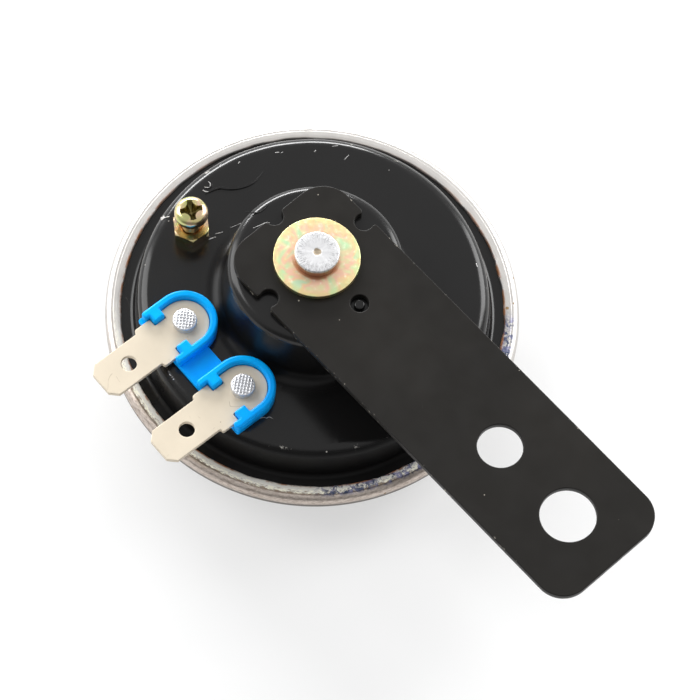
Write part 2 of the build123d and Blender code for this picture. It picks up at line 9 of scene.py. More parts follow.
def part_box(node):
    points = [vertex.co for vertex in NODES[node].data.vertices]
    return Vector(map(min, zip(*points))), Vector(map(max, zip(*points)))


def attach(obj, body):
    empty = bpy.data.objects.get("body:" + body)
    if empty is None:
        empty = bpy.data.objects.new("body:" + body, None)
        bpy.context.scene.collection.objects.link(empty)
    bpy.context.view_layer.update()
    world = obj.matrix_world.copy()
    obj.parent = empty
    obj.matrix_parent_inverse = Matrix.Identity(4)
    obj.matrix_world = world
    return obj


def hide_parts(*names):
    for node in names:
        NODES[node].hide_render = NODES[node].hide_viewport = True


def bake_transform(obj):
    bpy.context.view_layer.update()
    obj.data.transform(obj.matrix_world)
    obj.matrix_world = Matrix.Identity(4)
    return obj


bl_info = {
    "name": "Disc horn",
    "version": (1, 0, 0),
    "blender": (4, 5, 0),
    "location": "View3D > Sidebar > Disc horn",
    "description": "Builds the visible pieces of a small disc horn around its fixed frame",
    "category": "Object",
}

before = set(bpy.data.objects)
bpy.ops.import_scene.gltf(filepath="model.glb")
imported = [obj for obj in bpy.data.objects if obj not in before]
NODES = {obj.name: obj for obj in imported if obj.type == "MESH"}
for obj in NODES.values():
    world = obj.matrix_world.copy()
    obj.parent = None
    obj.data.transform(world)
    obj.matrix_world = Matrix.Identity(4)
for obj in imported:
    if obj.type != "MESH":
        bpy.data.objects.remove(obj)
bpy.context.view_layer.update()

MM = 0.001
BODY = "horn_body"
SCREW_BODY = "tuning_screw"
TURNS = 256             # segments round a large turned piece
SMALL_TURNS = 96        # segments round a small one


def low(node):
    """Lowest height of a node, in millimetres."""
    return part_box(node)[0].z / MM


def high(node):
    """Highest height of a node, in millimetres."""
    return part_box(node)[1].z / MM


def middle(node):
    """Middle of a node in plan, in millimetres."""
    first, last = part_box(node)
    return Vector(((first.x + last.x) / 2 / MM, (first.y + last.y) / 2 / MM))


# heights that the frame gives, in millimetres
RIM_TOP = high("front_cover")
BOSS_TOP = low("mounting_bracket")
STRAP_TOP = high("mounting_bracket")
WASHER_TOP = high("bracket_washer")
CORE_BOTTOM = low("pole_core")
CORE_TOP = high("pole_core")
PLATEAU = low("adjusting_nut")
NUT_TOP = high("adjusting_nut")
TAB_BOTTOM = low("terminal_a")
TAB_TOP = high("terminal_a")
SCREW = middle("adjusting_screw")
RIVET_A = middle("terminal_rivet_a")
RIVET_B = middle("terminal_rivet_b")
PAIR_TURN = atan2(RIVET_B.y - RIVET_A.y, RIVET_B.x - RIVET_A.x)
SHEET = 0.9             # housing's thickness
COVER_SHEET = 0.7
SCREW_HEAD = 1.8        # height of the adjusting screw's head


# ---------------------------------------------------------------- settings

def length(name, description, default):
    """Length property in metres whose default is given in millimetres."""
    return bpy.props.FloatProperty(name=name, description=description, default=default * MM,
                                   min=0.0, unit="LENGTH", precision=5)


def colour(name, description, default):
    """Colour property."""
    return bpy.props.FloatVectorProperty(name=name, description=description, default=default,
                                         size=3, subtype="COLOR", min=0.0, max=1.0)


def angle(name, description, default):
    """Angle property whose default is given in degrees."""
    return bpy.props.FloatProperty(name=name, description=description, default=radians(default),
                                   subtype="ANGLE")


def level(name, description, default):
    """Plain property that isn't negative."""
    return bpy.props.FloatProperty(name=name, description=description, default=default, min=0.0)


class HornSizes(bpy.types.PropertyGroup):
    """Sizes that a user may change"""

    edge: length("Strap's edge", "Rounding of the strap's sheared edges", 0.14)
    tab_edge: length("Terminal's edge", "Rounding of the terminals' edges", 0.08)
    insulator_edge: length("Insulator's edge", "Rounding of the insulator's walls", 0.34)
    ripple: length("Housing's ripple", "Unevenness of the pressed housing", 0.05)
    waffle: length("Rivet pattern", "Height of the pressed lattice on the terminals' rivets", 0.13)
    thread_depth: length("Thread", "Depth of the adjusting screw's thread", 0.26)


class HornColours(bpy.types.PropertyGroup):
    """Colours that a user may change"""

    paint: colour("Housing paint", "Gloss paint of the housing", (0.0062, 0.0060, 0.0060))
    strap: colour("Strap paint", "Satin paint of the strap", (0.0080, 0.0070, 0.0058))
    zinc: colour("Cover plating", "Zinc of the front cover and its rolled rim", (0.64, 0.62, 0.595))
    gold: colour("Yellow zinc", "Passivated zinc of washer, screw and nut", (0.76, 0.69, 0.41))
    tab: colour("Terminal plating", "Dull plating of the terminals", (0.70, 0.62, 0.495))
    insulator: colour("Insulator", "Moulded plastic under the terminals", (0.0, 0.37, 1.0))


class StageSettings(bpy.types.PropertyGroup):
    """Camera and studio light"""

    azimuth: angle("Azimuth", "Camera's turn about the horn's axis", 42.33)
    elevation: angle("Elevation", "Camera's height angle", 65.835)
    roll: angle("Roll", "Camera's turn about its own axis", 5.849)
    distance: length("Distance", "From the aim point to the camera", 622.393)
    aim: bpy.props.FloatVectorProperty(name="Aim", description="Aim point off the rim's middle, in the view",
                                       default=(5.901 * MM, -5.773 * MM), size=2, unit="LENGTH")
    lens: level("Lens", "Focal length in millimetres", 203.711)
    dome: level("Dome", "Strength of the light from all round", 0.50)
    sky: level("Sky", "Strength of what gloss mirrors from above", 0.68)
    front: level("Front", "Strength of what metal mirrors on the camera's side", 0.22)
    back_lamp: level("Back lamp", "Power of the strip lamp behind the horn, in watts", 19.5)
    left_lamp: level("Left lamp", "Power of the wide lamp at the left, in watts", 9.8)
    right_lamp: level("Right lamp", "Power of the wide lamp at the right, in watts", 10.5)


# ---------------------------------------------------------------- outlines

def arc(centre, radius, start, end, steps=24):
    """Points of an arc between two angles in degrees."""
    angles = [radians(start + (end - start) * k / steps) for k in range(steps + 1)]
    return [(centre[0] + radius * cos(a), centre[1] + radius * sin(a)) for a in angles]


def circle(centre, radius, steps=64):
    """Closed circle."""
    return arc(centre, radius, 0, 360, steps)[:-1]


def rounded(corners, steps=8):
    """Closed outline through (x, y) points and (x, y, radius) corners."""
    outline = []
    for index, corner in enumerate(corners):
        here = Vector(corner[:2])
        radius = corner[2] if len(corner) == 3 else 0
        if radius <= 0:
            outline.append(tuple(here))
            continue
        before = (Vector(corners[index - 1][:2]) - here).normalized()
        after = (Vector(corners[(index + 1) % len(corners)][:2]) - here).normalized()
        half = before.angle(after) / 2
        centre = here + (before + after).normalized() * (radius / sin(half))
        first = here + before * (radius / tan(half)) - centre
        last = here + after * (radius / tan(half)) - centre
        sweep = first.angle_signed(last)
        for step in range(steps + 1):
            turned_by = Matrix.Rotation(-sweep * step / steps, 2)
            outline.append(tuple(centre + turned_by @ first))
    return outline


def turn_outline(outline, angle):
    """Outline turned about the origin."""
    return [(x * cos(angle) - y * sin(angle), x * sin(angle) + y * cos(angle)) for x, y in outline]


def other_half(corners, middle_x):
    """The same corners mirrored, in the order that closes the outline."""
    return [(2 * middle_x - x, y, radius) for x, y, radius in reversed(corners)]


# ---------------------------------------------------------------- meshes

def turned(profile, segments=TURNS):
    """Closed (radius, height) profile turned about Z."""
    bm = bmesh.new()
    angles = [2 * pi * k / segments for k in range(segments)]
    rings = []
    for radius, height in profile:
        if radius < 1e-6:
            rings.append([bm.verts.new((0, 0, height))])
        else:
            rings.append([bm.verts.new((radius * cos(a), radius * sin(a), height)) for a in angles])
    for first, second in zip(rings, rings[1:] + rings[:1]):
        for k in range(segments):
            j = (k + 1) % segments
            corners = [first[k % len(first)], first[j % len(first)],
                       second[j % len(second)], second[k % len(second)]]
            corners = list(dict.fromkeys(corners))
            if len(corners) > 2:
                bm.faces.new(corners)
    bmesh.ops.recalc_face_normals(bm, faces=bm.faces)
    return bm


def from_curve(curve):
    """Mesh of a curve, which is then thrown away."""
    holder = bpy.data.objects.new("curve", curve)
    mesh = bpy.data.meshes.new_from_object(holder)
    bm = bmesh.new()
    bm.from_mesh(mesh)
    bpy.data.objects.remove(holder)
    bpy.data.curves.remove(curve)
    bpy.data.meshes.remove(mesh)
    bmesh.ops.remove_doubles(bm, verts=bm.verts, dist=1e-4)
    return bm


def plate(outlines, bottom, top, edge):
    """Flat piece between two heights, from an outline and its holes, with rounded edges."""
    curve = bpy.data.curves.new("plate", "CURVE")
    curve.dimensions = "2D"
    curve.fill_mode = "BOTH"
    curve.extrude = (top - bottom) / 2 - edge
    curve.bevel_depth = edge
    curve.bevel_resolution = 2
    curve.offset = -edge
    for outline in outlines:
        spline = curve.splines.new("POLY")
        spline.points.add(len(outline) - 1)
        spline.use_cyclic_u = True
        for point, (x, y) in zip(spline.points, outline):
            point.co = (x, y, 0, 1)
    bm = moved(from_curve(curve), z=(bottom + top) / 2)
    bmesh.ops.recalc_face_normals(bm, faces=bm.faces)
    return bm


def bead(path, width, height, rest):
    """Low ridge along a smooth line through (x, y) points, tapering at both ends."""
    curve = bpy.data.curves.new("bead", "CURVE")
    curve.dimensions = "3D"
    curve.bevel_depth = width / 2
    curve.bevel_resolution = 1
    curve.use_fill_caps = True
    spline = curve.splines.new("NURBS")
    spline.points.add(len(path) - 1)
    spline.order_u = 3
    spline.use_endpoint_u = True
    spline.resolution_u = 5
    for k, (point, (x, y)) in enumerate(zip(spline.points, path)):
        point.co = (x, y, 0, 1)
        point.radius = 0.2 + 0.8 * sin(pi * (k + 0.5) / len(path))
    bm = from_curve(curve)
    bmesh.ops.scale(bm, vec=(1, 1, 2 * height / width), verts=bm.verts)
    return moved(bm, z=rest)


def merge(target, *others):
    """Adds other meshes to the first one."""
    for other in others:
        mesh = bpy.data.meshes.new("part")
        other.to_mesh(mesh)
        other.free()
        target.from_mesh(mesh)
        bpy.data.meshes.remove(mesh)
    return target


def moved(bm, x=0.0, y=0.0, z=0.0):
    """Mesh shifted by a distance."""
    bmesh.ops.translate(bm, verts=bm.verts, vec=(x, y, z))
    return bm


def in_scene(name, data):
    """New object in the scene."""
    item = bpy.data.objects.new(name, data)
    bpy.context.scene.collection.objects.link(item)
    return item


def mesh_object(name, bm):
    """Object in metres from a mesh in millimetres."""
    bmesh.ops.scale(bm, vec=(MM, MM, MM), verts=bm.verts)
    mesh = bpy.data.meshes.new(name)
    bm.to_mesh(mesh)
    bm.free()
    return in_scene(name, mesh)


def cut(piece, cutter_mesh):
    """Takes one mesh out of a piece."""
    cutter = mesh_object("cutter", cutter_mesh)
    boolean = piece.modifiers.new("cut", "BOOLEAN")
    boolean.operation = "DIFFERENCE"
    boolean.solver = "EXACT"
    boolean.object = cutter
    graph = bpy.context.evaluated_depsgraph_get()
    result = bpy.data.meshes.new_from_object(piece.evaluated_get(graph))
    piece.modifiers.clear()
    whole = piece.data
    piece.data = result
    bpy.data.meshes.remove(whole)
    bpy.data.objects.remove(cutter)


def smooth(piece, finish, sharp=32):
    """Gives a piece its finish and smooth shading up to an angle in degrees."""
    piece.data.shade_smooth()
    piece.data.set_sharp_from_angle(angle=radians(sharp))
    piece.data.materials.append(finish)


def dress(piece, finish, body, slot, *nodes, sharp=32):
    """Shades a piece, joins it to a body and lets it stand for its nodes."""
    piece.data.materials.clear()
    smooth(piece, finish, sharp)
    for face in piece.data.polygons:
        if abs(face.normal.z) > 0.99999:
            face.use_smooth = False
    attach(piece, body)
    if nodes:
        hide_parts(*nodes)


def paint_node(node, finish):
    """Gives a node of the frame its finish."""
    holder = NODES[node]
    if not holder.material_slots:
        holder.data.materials.append(finish)
    for slot in holder.material_slots:
        slot.material = finish


# ---------------------------------------------------------------- finishes

def put(tree, kind, inputs=None, **settings):
    """Adds a node, sets its options and joins or sets its inputs."""
    node = tree.nodes.new(kind)
    for key, value in settings.items():
        setattr(node, key, value)
    for key, value in (inputs or {}).items():
        if isinstance(value, bpy.types.NodeSocket):
            tree.links.new(value, node.inputs[key])
        else:
            node.inputs[key].default_value = value
    return node


def empty_tree(owner):
    """Cleared node tree of a material or a world."""
    owner.use_nodes = True
    owner.node_tree.nodes.clear()
    return owner.node_tree


def start(name, **sockets):
    """Empty material with one Principled shader; returns material, shader and the place in metres."""
    material = bpy.data.materials.new(name)
    tree = empty_tree(material)
    inputs = {key.replace("_", " "): value for key, value in sockets.items()}
    shader = put(tree, "ShaderNodeBsdfPrincipled", inputs)
    put(tree, "ShaderNodeOutputMaterial", {0: shader.outputs[0]})
    return material, shader, put(tree, "ShaderNodeTexCoord").outputs["Object"]


def calc(operation, *values, clamp=False):
    """Result of one Math node, in the values' own tree."""
    tree = next(value.id_data for value in values if isinstance(value, bpy.types.NodeSocket))
    node = put(tree, "ShaderNodeMath", dict(enumerate(values)), operation=operation, use_clamp=clamp)
    return node.outputs[0]


def add(*values):
    """Sum."""
    return reduce(partial(calc, "ADD"), values)


def times(*values):
    """Product."""
    return reduce(partial(calc, "MULTIPLY"), values)


def larger(*values):
    """Largest value."""
    return reduce(partial(calc, "MAXIMUM"), values)


def less(first, second):
    """Difference."""
    return calc("SUBTRACT", first, second)


def absolute(value):
    """Value without its sign."""
    return calc("ABSOLUTE", value)


def grain(place, scale, detail=3.0, roughness=0.55, distortion=0.0):
    """Noise value between 0 and 1."""
    return put(place.id_data, "ShaderNodeTexNoise",
               {"Vector": place, "Scale": scale, "Detail": detail, "Roughness": roughness,
                "Distortion": distortion}).outputs["Fac"]


def rise(value, first, last):
    """0 below first, 1 above last, smooth between; the other way round if last is lower."""
    return put(value.id_data, "ShaderNodeMapRange", {"Value": value, "From Min": first, "From Max": last},
               interpolation_type="SMOOTHSTEP").outputs["Result"]


def across(distance, first, last):
    """The same over a distance, between two places in millimetres."""
    return rise(distance, first * MM, last * MM)


def facing(angle, direction, first, last):
    """The same over the cosine of the turn away from a direction in degrees."""
    return rise(calc("COSINE", less(angle, radians(direction))), first, last)


def blend(amount, first, second):
    """Mix of two colours."""
    first, second = ((*shade, 1.0) if isinstance(shade, tuple) else shade for shade in (first, second))
    return put(amount.id_data, "ShaderNodeMix", {0: amount, 6: first, 7: second}, data_type="RGBA",
               clamp_factor=True).outputs[2]


def bands(value, stops):
    """Colour ramp over (position, colour) stops."""
    node = put(value.id_data, "ShaderNodeValToRGB", {"Fac": value})
    ramp = node.color_ramp
    while len(ramp.elements) < len(stops):
        ramp.elements.new(0.5)
    for element, (position, shade) in zip(ramp.elements, stops):
        element.position = position
        element.color = (*shade, 1.0)
    return node.outputs["Color"]


def parts(place):
    """The three numbers of a vector."""
    return put(place.id_data, "ShaderNodeSeparateXYZ", {0: place}).outputs


def vector(x, y, z):
    """Vector of three numbers."""
    return put(x.id_data, "ShaderNodeCombineXYZ", {0: x, 1: y, 2: z}).outputs[0]


def polar(place, centre=(0.0, 0.0)):
    """Radius and angle about a vertical axis, and the height, in metres and radians."""
    x, y, height = parts(place)
    x = less(x, centre[0] * MM)
    y = less(y, centre[1] * MM)
    return calc("SQRT", add(times(x, x), times(y, y))), calc("ARCTAN2", y, x), height


def specks(place, scale, size, share):
    """Small round specks in a share of the cells of a grid of points."""
    cells = put(place.id_data, "ShaderNodeTexVoronoi", {"Vector": place, "Scale": scale}).outputs
    chance = put(place.id_data, "ShaderNodeSeparateColor", {"Color": cells["Color"]}).outputs
    near = calc("LESS_THAN", cells["Distance"], times(chance[1], size))
    return times(near, calc("LESS_THAN", chance[0], share))


def hairlines(place, scale, width, cover):
    """Thin wandering scratches over part of the surface."""
    thin = rise(absolute(less(grain(place, scale, 1.0, 0.4, 0.6), 0.5)), width, width * 0.3)
    return times(thin, rise(grain(place, scale * 1.7, 2.0), 1.0 - cover, 1.0 - cover + 0.04))


def finished(material, shader, shade, rough, *layers, **sockets):
    """Joins colour, roughness, other sockets and bumps of (height, strength, distance in millimetres)."""
    tree = shader.id_data
    joined = {"Base Color": shade, "Roughness": rough, **sockets}
    for height, strength, distance in layers:
        inputs = {"Height": height, "Strength": strength, "Distance": distance * MM}
        if "Normal" in joined:
            inputs["Normal"] = joined["Normal"]
        joined["Normal"] = put(tree, "ShaderNodeBump", inputs).outputs[0]
    for key, value in joined.items():
        tree.links.new(value, shader.inputs[key.replace("_", " ")])
    return material


def housing_paint(colours):
    """Gloss black paint: slight orange peel, dust specks, chips on the pressed edges."""
    gloss = 0.42
    material, shader, place = start("housing_paint", Specular_IOR_Level=gloss)
    radius, angle, height = polar(place)
    edge_radius, edge_height = 26.75 * MM, 15.0 * MM
    step = add(absolute(less(radius, edge_radius)), absolute(less(height, edge_height)))
    worn = times(across(step, 0.9, 0.25), rise(grain(place, 420.0, 5.0, 0.7), 0.63, 0.69))
    wall = times(across(radius, 17.2, 16.2), across(height, BOSS_TOP - 0.8, BOSS_TOP - 2.0))
    wall = times(wall, facing(angle, -97, 0.2, 0.6))
    slope = times(across(height, PLATEAU - 0.1, PLATEAU - 0.9), facing(angle, -47, 0.45, 0.8))
    wall = larger(wall, times(slope, 1.3))
    dust = specks(place, 620.0, 0.12, 0.06)
    scratch = hairlines(place, 95.0, 0.0016, 0.3)
    marks = larger(worn, dust, times(scratch, 0.16))
    shade = blend(marks, tuple(colours.paint), (0.42, 0.4, 0.37))
    cloudy = grain(place, 130.0, 4.0)
    rough = add(times(cloudy, 0.14), 0.12)
    rough = add(rough, times(wall, 0.14))
    return finished(material, shader, shade, add(rough, times(marks, 0.3)),
                    (grain(place, 750.0, 2.0), 0.12, 0.02), (grain(place, 160.0, 2.0), 0.15, 0.05),
                    (marks, 0.4, 0.03), Specular_IOR_Level=less(gloss, times(wall, 0.22)))


def bare_paint():
    """Pale broken paint along the scratches."""
    material, shader, place = start("broken_paint", Specular_IOR_Level=0.3)
    flakes = grain(place, 1500.0, 4.0, 0.7)
    return finished(material, shader,
                    blend(rise(flakes, 0.35, 0.65), (0.22, 0.215, 0.21), (0.88, 0.87, 0.86)),
                    add(times(flakes, 0.3), 0.4), (flakes, 0.4, 0.03))


def strap_paint(colours):
    """Satin black paint over sheared sheet: pale chips along the edges, dust, fine hair scratches."""
    material, shader, place = start("strap_paint", Specular_IOR_Level=0.22)
    edge = across(absolute(parts(place)[1]), 10.58, 10.8)
    chips = times(edge, rise(grain(place, 900.0, 4.0, 0.7), 0.61, 0.68))
    dust = specks(place, 620.0, 0.12, 0.1)
    scratch = hairlines(place, 110.0, 0.0016, 0.3)
    marks = larger(chips, dust, times(scratch, 0.14))
    tone = blend(rise(grain(place, 45.0, 4.0), 0.35, 0.7), tuple(colours.strap),
                 tuple(c * 1.5 for c in colours.strap))
    shade = blend(marks, tone, (0.36, 0.33, 0.28))
    rough = add(times(grain(place, 220.0, 4.0), 0.22), 0.3)
    return finished(material, shader, shade, rough, (grain(place, 1400.0, 3.0), 0.3, 0.02),
                    (grain(place, 260.0, 3.0), 0.3, 0.06), (marks, 0.5, 0.04))


def cover_zinc(colours):
    """Dull zinc plating: clouds, rust at the rolled edge, brown flecks. On the camera's side of the rim the
    lip is lightened as a painted sheen with painted highlight sparkles and darker flecks beside the crease,
    the crease is darkened with painted shade and the roll outside it gets a painted reflection in streaked
    brown that turns near-black at its lower edge. Under the strap a dark violet mottling on the lip is partly
    real discolouring, partly painted reflection of the dark strap.
    """
    material, shader, place = start("cover_zinc", Metallic=1.0)
    radius, angle, height = polar(place)
    clouds = grain(place, 160.0, 6.0, 0.65)
    tone = blend(rise(clouds, 0.35, 0.68), tuple(colours.zinc), tuple(c * 0.82 for c in colours.zinc))
    top = times(across(height, 6.4, 7.4), across(radius, 29.0, 29.8))
    # near marks the rim's top on the camera's side, where the painted light below goes.
    near = times(top, facing(angle, -55, 0.1, 0.75))
    streaks = grain(vector(radius, times(angle, 0.01), height), 3800.0, 4.0, 0.7)
    # Camera-side lip inside the crease: lightened as a painted sheen.
    bead = times(near, across(radius, CREASE - 0.05, CREASE + 0.1))
    painted_lip_sheen = less(near, bead)
    tone = blend(times(painted_lip_sheen, 0.85), tone, (0.84, 0.82, 0.76))
    # Camera-side roll outside the crease: painted reflection, streaked brown and near-black at its lower
    # edge.
    brown = bands(streaks, [(0.38, (0.4, 0.32, 0.27)), (0.56, (0.68, 0.59, 0.52))])
    tone = blend(times(bead, 0.85), tone, brown)
    tone = blend(times(bead, across(height, 8.0, 7.4)), tone, (0.16, 0.15, 0.14))
    # Painted shade darkens the crease on the camera's side.
    painted_crease_shade = across(absolute(less(radius, CREASE * MM)), 0.26, 0.1)
    tone = blend(times(painted_crease_shade, times(near, 0.8)), tone, (0.2, 0.14, 0.1))
    # Beside the crease on the camera's side: darker flecks and painted highlight sparkles.
    band = times(painted_lip_sheen, across(radius, CREASE - 0.75, CREASE - 0.45))
    tone = blend(times(band, rise(streaks, 0.46, 0.36)), tone, (0.38, 0.3, 0.2))
    painted_glint = times(band, rise(streaks, 0.5, 0.55))
    tone = blend(painted_glint, tone, (1.0, 0.97, 0.8))
    # Dark violet mottling on the lip under the strap: partly real discolouring, partly painted reflection of
    # the dark strap.
    stain_and_strap_reflection = times(rise(grain(place, 950.0, 6.0, 0.75, 0.6), 0.46, 0.53), facing(angle, 3, 0.69, 0.77))
    violet = bands(grain(place, 900.0, 2.0), [(0.42, (0.06, 0.08, 0.14)), (0.6, (0.27, 0.27, 0.42))])
    stain_and_strap_reflection = times(stain_and_strap_reflection, times(top, across(radius, 32.0, 31.4)))
    tone = blend(stain_and_strap_reflection, tone, violet)
    lip = times(across(radius, LIP + 0.42, LIP + 0.1), across(height, 8.6, 8.9))
    rust = times(lip, rise(grain(place, 260.0, 5.0, 0.7), 0.4, 0.56))
    rust = times(rust, facing(angle, -47, -1.15, -0.35))
    tone = blend(rust, tone, (0.32, 0.125, 0.045))
    flecks = specks(place, 600.0, 0.2, 0.1)
    tone = blend(flecks, tone, (0.3, 0.19, 0.08))
    # Rust and flecks are dull; the painted sheen and highlight sparkles are made less metallic as well, so
    # that they render lighter.
    dull = larger(rust, times(flecks, 0.6))
    dull = larger(dull, larger(times(painted_lip_sheen, 0.55), painted_glint))
    rough = add(times(clouds, 0.25), 0.3)
    return finished(material, shader, tone, add(rough, times(dull, 0.3)),
                    (grain(place, 900.0, 3.0), 0.25, 0.03), (grain(place, 140.0, 3.0), 0.4, 0.12),
                    Metallic=less(1.0, dull))


def washer_zinc(colours):
    """Yellow passivated zinc with pink and green patches, and a brown ring round the rivet painted as its
    shadow and reflection.
    """
    material, shader, place = start("washer_yellow_zinc", Metallic=1.0)
    gold = tuple(colours.gold)
    patches = grain(place, 290.0, 2.0, 0.5, 0.6)
    tone = bands(patches,
                 [(0.36, (0.56, 0.76, 0.46)), (0.44, gold), (0.5, (0.88, 0.56, 0.42)),
                  (0.56, (0.88, 0.62, 0.36)), (0.64, (0.58, 0.76, 0.52))])
    speckle = grain(place, 1500.0, 3.0)
    tone = blend(rise(speckle, 0.55, 0.8), tone, (0.88, 0.84, 0.68))
    radius, angle, _ = polar(place)
    uneven = add(radius, times(grain(place, 300.0, 2.0), 1.6 * MM))
    tone = blend(times(across(uneven, 6.1, 7.2), 0.45), tone, (0.72, 0.7, 0.28))
    tone = blend(times(across(uneven, 5.4, 4.4), 0.4), tone, (0.86, 0.56, 0.42))
    # Brown ring round the rivet, strongest on the camera's side: painted shadow and painted reflection of the
    # rivet head.
    ring = times(across(uneven, 4.75, 4.4), facing(angle, -50, -0.2, 0.6))
    tone = blend(times(ring, 0.75), tone, (0.42, 0.17, 0.07))
    rough = add(times(speckle, 0.25), 0.3)
    return finished(material, shader, tone, rough, (speckle, 0.3, 0.02),
                    (grain(place, 300.0, 2.0), 0.25, 0.05))


def screw_zinc(colours):
    """Shiny yellow zinc with pinkish and greenish tints; the cross recess is darkened with painted shade."""
    material, shader, place = start("screw_yellow_zinc", Metallic=1.0)
    gold = tuple(c * k for c, k in zip(colours.gold, (0.9, 0.86, 0.7)))
    patches = grain(place, 330.0, 2.0, 0.5, 0.5)
    tone = bands(patches,
                 [(0.3, (0.5, 0.55, 0.22)), (0.45, gold), (0.58, (0.84, 0.6, 0.44)),
                  (0.72, (0.66, 0.66, 0.32))])
    radius, _, height = polar(place, SCREW)
    head = high("adjusting_screw")
    under = head - SCREW_HEAD
    within = across(radius, 2.05, 1.9)
    # Painted shade darkens the walls of the cross recess inside the head.
    painted_recess_shade = times(within,
                times(across(height, head - 0.12, head - 0.5), across(height, under, under + 0.05)))
    tone = blend(times(painted_recess_shade, 0.9), tone, (0.15, 0.125, 0.035))
    shank = times(within, across(height, under, under - 0.05))
    tone = blend(times(shank, 0.6), tone, (0.55, 0.27, 0.1))
    fine = grain(place, 1300.0, 3.0)
    return finished(material, shader, tone, add(times(fine, 0.22), 0.12), (fine, 0.25, 0.02),
                    (grain(place, 500.0, 2.0), 0.3, 0.05))


def rivet_steel():
    """Bright rivet head with spokes left by the rolling tool and a brown dimple; its side is painted dark
    brown as shade and as a reflection of the washer.
    """
    material, shader, place = start("rivet_steel", Metallic=1.0)
    radius, angle, height = polar(place)
    around = vector(times(calc("COSINE", angle), 8.0), times(calc("SINE", angle), 8.0), times(radius, 420.0))
    spokes = grain(around, 4.0, 4.0, 0.7)
    outer = across(radius, 1.2, 2.8)
    tone = blend(times(rise(spokes, 0.5, 0.4), add(outer, 0.15)), (0.7, 0.7, 0.71), (0.38, 0.38, 0.39))
    pits = specks(place, 1300.0, 0.25, 0.3)
    tone = blend(times(pits, 0.5), tone, (0.42, 0.41, 0.4))
    dimple = across(add(radius, times(grain(place, 900.0, 3.0), 0.5 * MM)), 0.92, 0.8)
    tone = blend(times(dimple, 0.85), tone, (0.3, 0.23, 0.14))
    # The head's side is painted dark brown: painted shade and painted reflection of the washer.
    painted_flank_shade = across(height, CORE_TOP - 0.28, CORE_TOP - 0.5)
    tone = blend(times(painted_flank_shade, 0.85), tone, (0.36, 0.17, 0.09))
    return finished(material, shader, tone, add(times(spokes, 0.2), 0.34), (times(spokes, outer), 0.4, 0.05),
                    (grain(place, 1500.0, 3.0), 0.3, 0.02))


def tab_plating(colours):
    """Dull cream plating with short scratches and darker specks."""
    material, shader, place = start("terminal_nickel", Metallic=0.3, Specular_IOR_Level=0.2)
    clouds = grain(place, 180.0, 5.0, 0.6)
    tone = blend(rise(clouds, 0.35, 0.7), tuple(colours.tab), tuple(c * 0.94 for c in colours.tab))
    scratch = hairlines(place, 170.0, 0.006, 0.46)
    marks = larger(times(scratch, 0.6), specks(place, 700.0, 0.16, 0.12))
    tone = blend(marks, tone, (0.36, 0.29, 0.2))
    fine = grain(place, 1600.0, 3.0)
    return finished(material, shader, tone, add(times(fine, 0.18), 0.36), (fine, 0.3, 0.015),
                    (clouds, 0.25, 0.05), (marks, 0.4, 0.02))


def bare_metal(name, shade, dark, rough):
    """Plain metal with clouds of tone and a fine grain."""
    material, shader, place = start(name, Metallic=1.0)
    clouds = grain(place, 180.0, 5.0, 0.6)
    fine = grain(place, 1200.0, 4.0, 0.6)
    return finished(material, shader, blend(rise(clouds, 0.35, 0.7), shade, dark),
                    add(times(fine, 0.2), rough), (fine, 0.3, 0.02), (clouds, 0.25, 0.05))


def insulator_plastic(colours):
    """Moulded plastic: even colour with slightly paler flow clouds and a soft gloss."""
    material, shader, place = start("insulator_blue", Specular_IOR_Level=0.12)
    clouds = grain(place, 160.0, 3.0)
    pale = tuple(min(1.0, c * 1.05 + d) for c, d in zip(colours.insulator, (0.0, 0.05, 0.0)))
    fine = grain(place, 1100.0, 2.0)
    return finished(material, shader, blend(rise(clouds, 0.35, 0.7), tuple(colours.insulator), pale),
                    add(times(fine, 0.14), 0.26), (fine, 0.25, 0.02), (grain(place, 320.0, 2.0), 0.3, 0.08))


def board(name, shade, dark, rough):
    """Pressed board or moulding: mottled, with a fibre grain."""
    material, shader, place = start(name)
    fibres = grain(place, 900.0, 6.0, 0.7, 0.5)
    return finished(material, shader, blend(rise(fibres, 0.3, 0.7), shade, dark),
                    add(times(fibres, 0.2), rough), (fibres, 0.4, 0.04))


def copper_wire():
    """Enamelled wire laid in even layers; its colour is darker between the turns and lighter on their crowns,
    painted shade and painted highlight.
    """
    material, shader, place = start("enamelled_copper", Metallic=0.9)
    wire = 0.35
    layers = absolute(calc("SINE", times(parts(place)[2], pi / (wire * MM))))
    uneven = grain(place, 700.0, 3.0)
    # Darker between the turns and lighter on their crowns: painted shade and painted highlight.
    tone = blend(times(layers, rise(uneven, 0.2, 0.7)), (0.22, 0.07, 0.02), (0.78, 0.36, 0.15))
    return finished(material, shader, tone, add(times(uneven, 0.2), 0.2), (layers, 0.8, 0.15))


# ---------------------------------------------------------------- housing

# radii of the housing's outer face and of the rolled rim, in millimetres
STEP_FOOT = 28.0
STEP_TOP = 27.2
BOSS_FOOT = 14.5
BOSS_RADIUS = 13.5
LIP = 30.0
CREASE = 31.35
INDEX_HOLE = 9.75       # from the axis to the strap's index hole and the housing's pip
FLANGE_TOP = RIM_TOP - COVER_SHEET      # height


